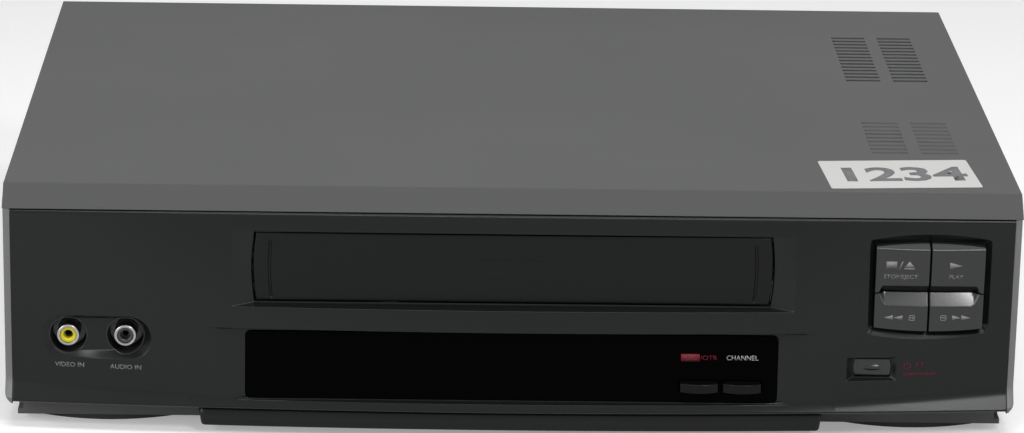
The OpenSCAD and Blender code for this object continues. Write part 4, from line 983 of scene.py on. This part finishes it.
ROUNDED = {"top_cover": 0.5, "base_tray": 0.4, "front_feet": 0.5, "rear_feet": 0.5, "case_screws": 0.2,
           "display_window": 0.25, "record_key": 0.4, "channel_key": 0.4, "rear_panel": 0.2,
           "mains_inlet": 0.4, "upper_scart_socket": 0.3, "lower_scart_socket": 0.3,
           "rear_phono_sockets": 0.15, "tuner_module": 0.2}
rounded = {name: refined(name, width) for name, width in ROUNDED.items()}

# The tray's lowest outer edges are moved in, so that they don't stand out at the corners
TRAY_LOW, TRAY_OUT, TRAY_IN = 4.6, 185, 2.3
for vertex in rounded["base_tray"].data.vertices:
    if vertex.co.z < TRAY_LOW * MM and abs(vertex.co.x) > TRAY_OUT * MM:
        vertex.co.x -= math.copysign(TRAY_IN * MM, vertex.co.x)


# Print
def flat_shape(points):
    """A filled outline, run anticlockwise, in (x, z)."""
    return np.array(points, float), [list(range(len(points)))]


def lettering(text, height, spread=1.0, bold=0.0):
    """Letters as flat triangles in (x, z), centred, with capitals of the given height."""
    curve = bpy.data.curves.new("letters", "FONT")
    curve.body, curve.align_x = text, "CENTER"
    curve.resolution_u = 3
    curve.offset = bold
    holder = added("letters", curve)
    bpy.context.view_layer.update()
    mesh = bpy.data.meshes.new_from_object(holder)
    p = np.zeros((len(mesh.vertices), 3))
    mesh.vertices.foreach_get("co", p.ravel())
    faces = [list(f.vertices) for f in mesh.polygons]
    bpy.data.objects.remove(holder)
    bpy.data.curves.remove(curve)
    scale = height / 0.7
    return p[:, :2] * [scale * spread, scale] - [0, height / 2], faces


def shifted(shape, x, z):
    """A flat shape moved by (x, z)."""
    return shape[0] + [x, z], shape[1]


def printed(name, shapes, surface, body, material, lift=0.03):
    """Flat shapes in (x, z) laid on a surface y(x, z), as a skin of ink."""
    points, faces = join(*[(np.insert(p, 1, 0, 1), f) for p, f in shapes])
    points[:, 1] = surface(points[:, 0], points[:, 2]) - lift
    return piece(name, (points, faces), body, material, wall=0.02, merge=0.0)


def triangle(x, z, w, h):
    """A pointer towards +x, or towards -x where w is negative."""
    p = [(x, z - h / 2), (x + w, z), (x, z + h / 2)]
    return flat_shape(p if w > 0 else p[::-1])


def box_shape(x, z, w, h):
    """A rectangle around its middle."""
    w, h = w / 2, h / 2
    return flat_shape([(x - w, z - h), (x + w, z - h), (x + w, z + h), (x - w, z + h)])


def frame_shape(x, z, w, h, t):
    """A rounded frame outline of thickness t."""
    n = 40
    a = np.linspace(0, 2 * math.pi, n, endpoint=False)
    unit = np.stack([np.cos(a), np.sin(a)], 1)
    unit = np.sign(unit) * np.abs(unit) ** 0.45
    return np.concatenate([unit * [w / 2, h / 2], unit * [w / 2 - t, h / 2 - t]]) + [x, z], band(n)


def slash(x, z, w, h, t):
    """A leaning bar, as a parallelogram."""
    return flat_shape([(x - w / 2, z - h / 2), (x - w / 2 + t, z - h / 2), (x + w / 2, z + h / 2),
                       (x + w / 2 - t, z + h / 2)])


def cassette_mark(x, z):
    """A small cassette: a frame with two reels and the line between them."""
    return [frame_shape(x, z, 2.35, 2.2, 0.28), box_shape(x, z, 1.3, 0.3),
            box_shape(x - 0.4, z, 0.4, 0.75), box_shape(x + 0.4, z, 0.4, 0.75)]


printed("socket_words", [shifted(lettering("VIDEO IN", 1.75, 1.05), -165.4, 26.2),
                         shifted(lettering("AUDIO IN", 1.75, 1.05), -144.3, 26.1)],
        front_y, "casing", silver_ink)

KEY_PRINTS = {
    "stop": [box_shape(140.9, 69.6, 3.9, 2.6), slash(144.35, 69.4, 1.7, 3.2, 0.42),
             flat_shape([(145.6, 68.7), (149.5, 68.7), (147.55, 71.0)]), box_shape(147.55, 68.15, 3.9, 0.5),
             shifted(lettering("STOP/EJECT", 1.5, 1.14), 144.45, 65.05)],
    "play": [triangle(162.65, 69.5, 4.6, 2.6), shifted(lettering("PLAY", 1.5, 1.1), 165.1, 65.2)],
    "rewind": [triangle(142.2, 48.85, -3.4, 1.95), triangle(145.8, 48.85, -3.4, 1.95),
               *cassette_mark(149.3, 48.85)],
    "forward": [triangle(164.4, 49.05, 3.3, 1.95), triangle(167.9, 49.05, 3.4, 1.95),
                *cassette_mark(161.1, 48.95)],
}
for name, shapes in KEY_PRINTS.items():
    printed(name + "_print", shapes, key_front[name + "_key"], name + "_key", silver_ink)

# Words under the window: name, shapes, ink and how far the ink stands off
WINDOW_PRINTS = [
    ("channel_word", shifted(lettering("CHANNEL", 1.85, 0.98), 86.3, 32.7), white_ink, 0.05),
    ("record_box", box_shape(66.8, 32.6, 7.0, 2.8), red_ink, 0.04),
    ("record_word", shifted(lettering("REC", 1.75, 1.15), 66.8, 32.6), black_ink, 0.08),
    ("timer_word", shifted(lettering("/OTR", 1.75, 1.1), 73.7, 32.6), dark_red_ink, 0.05),
]
for name, shape, colour, lift in WINDOW_PRINTS:
    printed(name, [shape], window_y, "casing", colour, lift)


def power_mark():
    """Standby mark: a broken circle with a bar through the gap, a slash and an upright."""
    a = np.radians(np.linspace(125, 415, 25))
    unit = np.stack([np.cos(a), np.sin(a)], 1)
    n = len(a)
    circle = (np.concatenate([unit * 1.36, unit * 1.1]) + [148.5, 29.6],
              [[i + 1, i, n + i, n + i + 1] for i in range(n - 1)])
    return [circle, box_shape(148.5, 30.4, 0.26, 1.9), slash(151.95, 29.7, 1.5, 2.6, 0.3),
            box_shape(154.25, 29.7, 0.34, 2.5), shifted(lettering("ON/STANDBY", 1.15, 1.25), 153.6, 26.2)]


printed("power_mark", power_mark(), front_y, "casing", dark_red_ink)

LABEL_CORNER, LABEL_W, LABEL_H = (119.0, 4.2), 57.4, 35.2
LABEL_TURN = math.radians(3.7)
DIGIT_H, DIGITS_W = 16.5, 47.0


def on_label(points):
    """Points on the label, from its own corner and along its sides, placed on the cover."""
    c, s = math.cos(LABEL_TURN), math.sin(LABEL_TURN)
    return points @ np.array([[c, s], [-s, c]]) + LABEL_CORNER


def raised(points, z):
    """Points (x, y) at a height z."""
    return np.concatenate([points, np.full((len(points), 1), z)], 1)


sheet = on_label(ring(0, LABEL_W, 0, LABEL_H, 1.0))
sheet_sides = np.concatenate([raised(sheet, BODY_H + 0.01), raised(sheet, BODY_H + 0.1)])
label = piece("label_sheet", (sheet_sides, band(len(sheet)) + end_faces(len(sheet), 1)), "casing", paper,
              "label_paper", sharp=60)
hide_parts("paper_label")
digits, digit_faces = lettering("1234", DIGIT_H, bold=0.03)
digits[:, 0] *= DIGITS_W / np.ptp(digits[:, 0])
digits = on_label(digits + [LABEL_W / 2, LABEL_H / 2])
piece("label_digits", (raised(digits, BODY_H + 0.13), digit_faces), "casing", grey_ink, "label_paper",
      wall=0.02, merge=0.0)

# Floor, light and camera
FLOOR_HALF = 2.2
FLOOR_SEEN, FLOOR_BOUNCE, FLOOR_GLOW = 0.85, 0.22, 0.3


def seen_level(tree, seen, bounced):
    """One level for rays that look (camera, gloss and glass rays), another for bounced light."""
    rays = tree.nodes.new("ShaderNodeLightPath")
    looking = maths(tree, "MAXIMUM", rays.outputs["Is Camera Ray"], rays.outputs["Is Transmission Ray"])
    looking = maths(tree, "MAXIMUM", looking, rays.outputs["Is Glossy Ray"])
    return maths(tree, "ADD", maths(tree, "MULTIPLY", looking, seen - bounced), bounced)


def floor_finish():
    """White to the camera, in gloss and through glass; greyer in bounced light, like a matt table."""
    material = bpy.data.materials.new("pale floor")
    material.use_nodes = True
    tree = material.node_tree
    shader = tree.nodes["Principled BSDF"]
    tree.links.new(seen_level(tree, FLOOR_SEEN, FLOOR_BOUNCE), shader.inputs["Base Color"])
    tree.links.new(seen_level(tree, FLOOR_GLOW, 0.0), shader.inputs["Emission Strength"])
    set_inputs(shader, {"Emission Color": (1, 1, 1, 1), "Roughness": 0.9, "Specular IOR Level": 0.0})
    return material


floor_mesh = bpy.data.meshes.new("floor")
floor_mesh.from_pydata([(x * FLOOR_HALF, y * FLOOR_HALF, 0) for x, y in ((-1, -1), (1, -1), (1, 1), (-1, 1))],
                       [], [[0, 1, 2, 3]])
floor_mesh.materials.append(floor_finish())
floor = added("floor", floor_mesh)


def softbox(name, at, target, width, radiance, height=None):
    """An area light that faces a target; its power follows from its radiance and its two sides."""
    data = bpy.data.lights.new(name, "AREA")
    height = height or width
    data.shape, data.size, data.size_y = "RECTANGLE", width, height
    data.energy = radiance * math.pi * width * height
    lamp = added(name, data)
    lamp.location = at
    lamp.rotation_euler = (Vector(target) - Vector(at)).to_track_quat("-Z", "Y").to_euler()


# Name, place, target, width, radiance and, where it isn't square, height
for light in [
        ("overhead, set back", (0.0, 0.45, 1.35), (0, 0.0, 0.0), 1.2, 0.85),
        ("strip over the front", (0.1, -0.6, 1.22), (0.05, -0.14, 0.05), 0.95, 13.0, 0.21),
        ("lamp at the right", (0.5, -1.05, 0.95), (0.15, -0.14, 0.05), 0.2, 42.0),
        ("front left", (-0.6, -0.6, 0.3), (-0.15, -0.14, 0.05), 0.35, 5.0),
        ("left side", (-1.1, -0.15, 0.35), (0, -0.05, 0.05), 0.7, 2.6),
        ("right side", (1.1, -0.15, 0.35), (0, -0.05, 0.05), 0.7, 2.6)]:
    softbox(*light)

scene.world = bpy.data.worlds.new("studio")
scene.world.use_nodes = True
sky = scene.world.node_tree
sky.nodes["Background"].inputs["Color"].default_value = (1, 1, 1, 1)
sky.links.new(seen_level(sky, 1.0, 0.07), sky.nodes["Background"].inputs["Strength"])

# The photograph's camera: its place, how it is turned, tipped down and rolled, and its lens
CAMERA_AT = (-0.03782, -1.58725, 0.54994)
CAMERA_YAW, CAMERA_PITCH, CAMERA_ROLL = (math.radians(a) for a in (-1.453, 17.678, 1.100))
FOCAL_PIXELS, IMAGE_WIDTH, SENSOR = 4117.7, 1024, 36.0

lens = bpy.data.cameras.new("camera")
lens.sensor_width, lens.lens = SENSOR, FOCAL_PIXELS / IMAGE_WIDTH * SENSOR
scene.camera = added("camera", lens)
scene.camera.matrix_world = (
    Matrix.Translation(CAMERA_AT) @ Matrix.Rotation(CAMERA_YAW, 4, "Z")
    @ Matrix.Rotation(math.pi / 2 - CAMERA_PITCH, 4, "X") @ Matrix.Rotation(CAMERA_ROLL, 4, "Z"))
scene.view_settings.view_transform = "Standard"
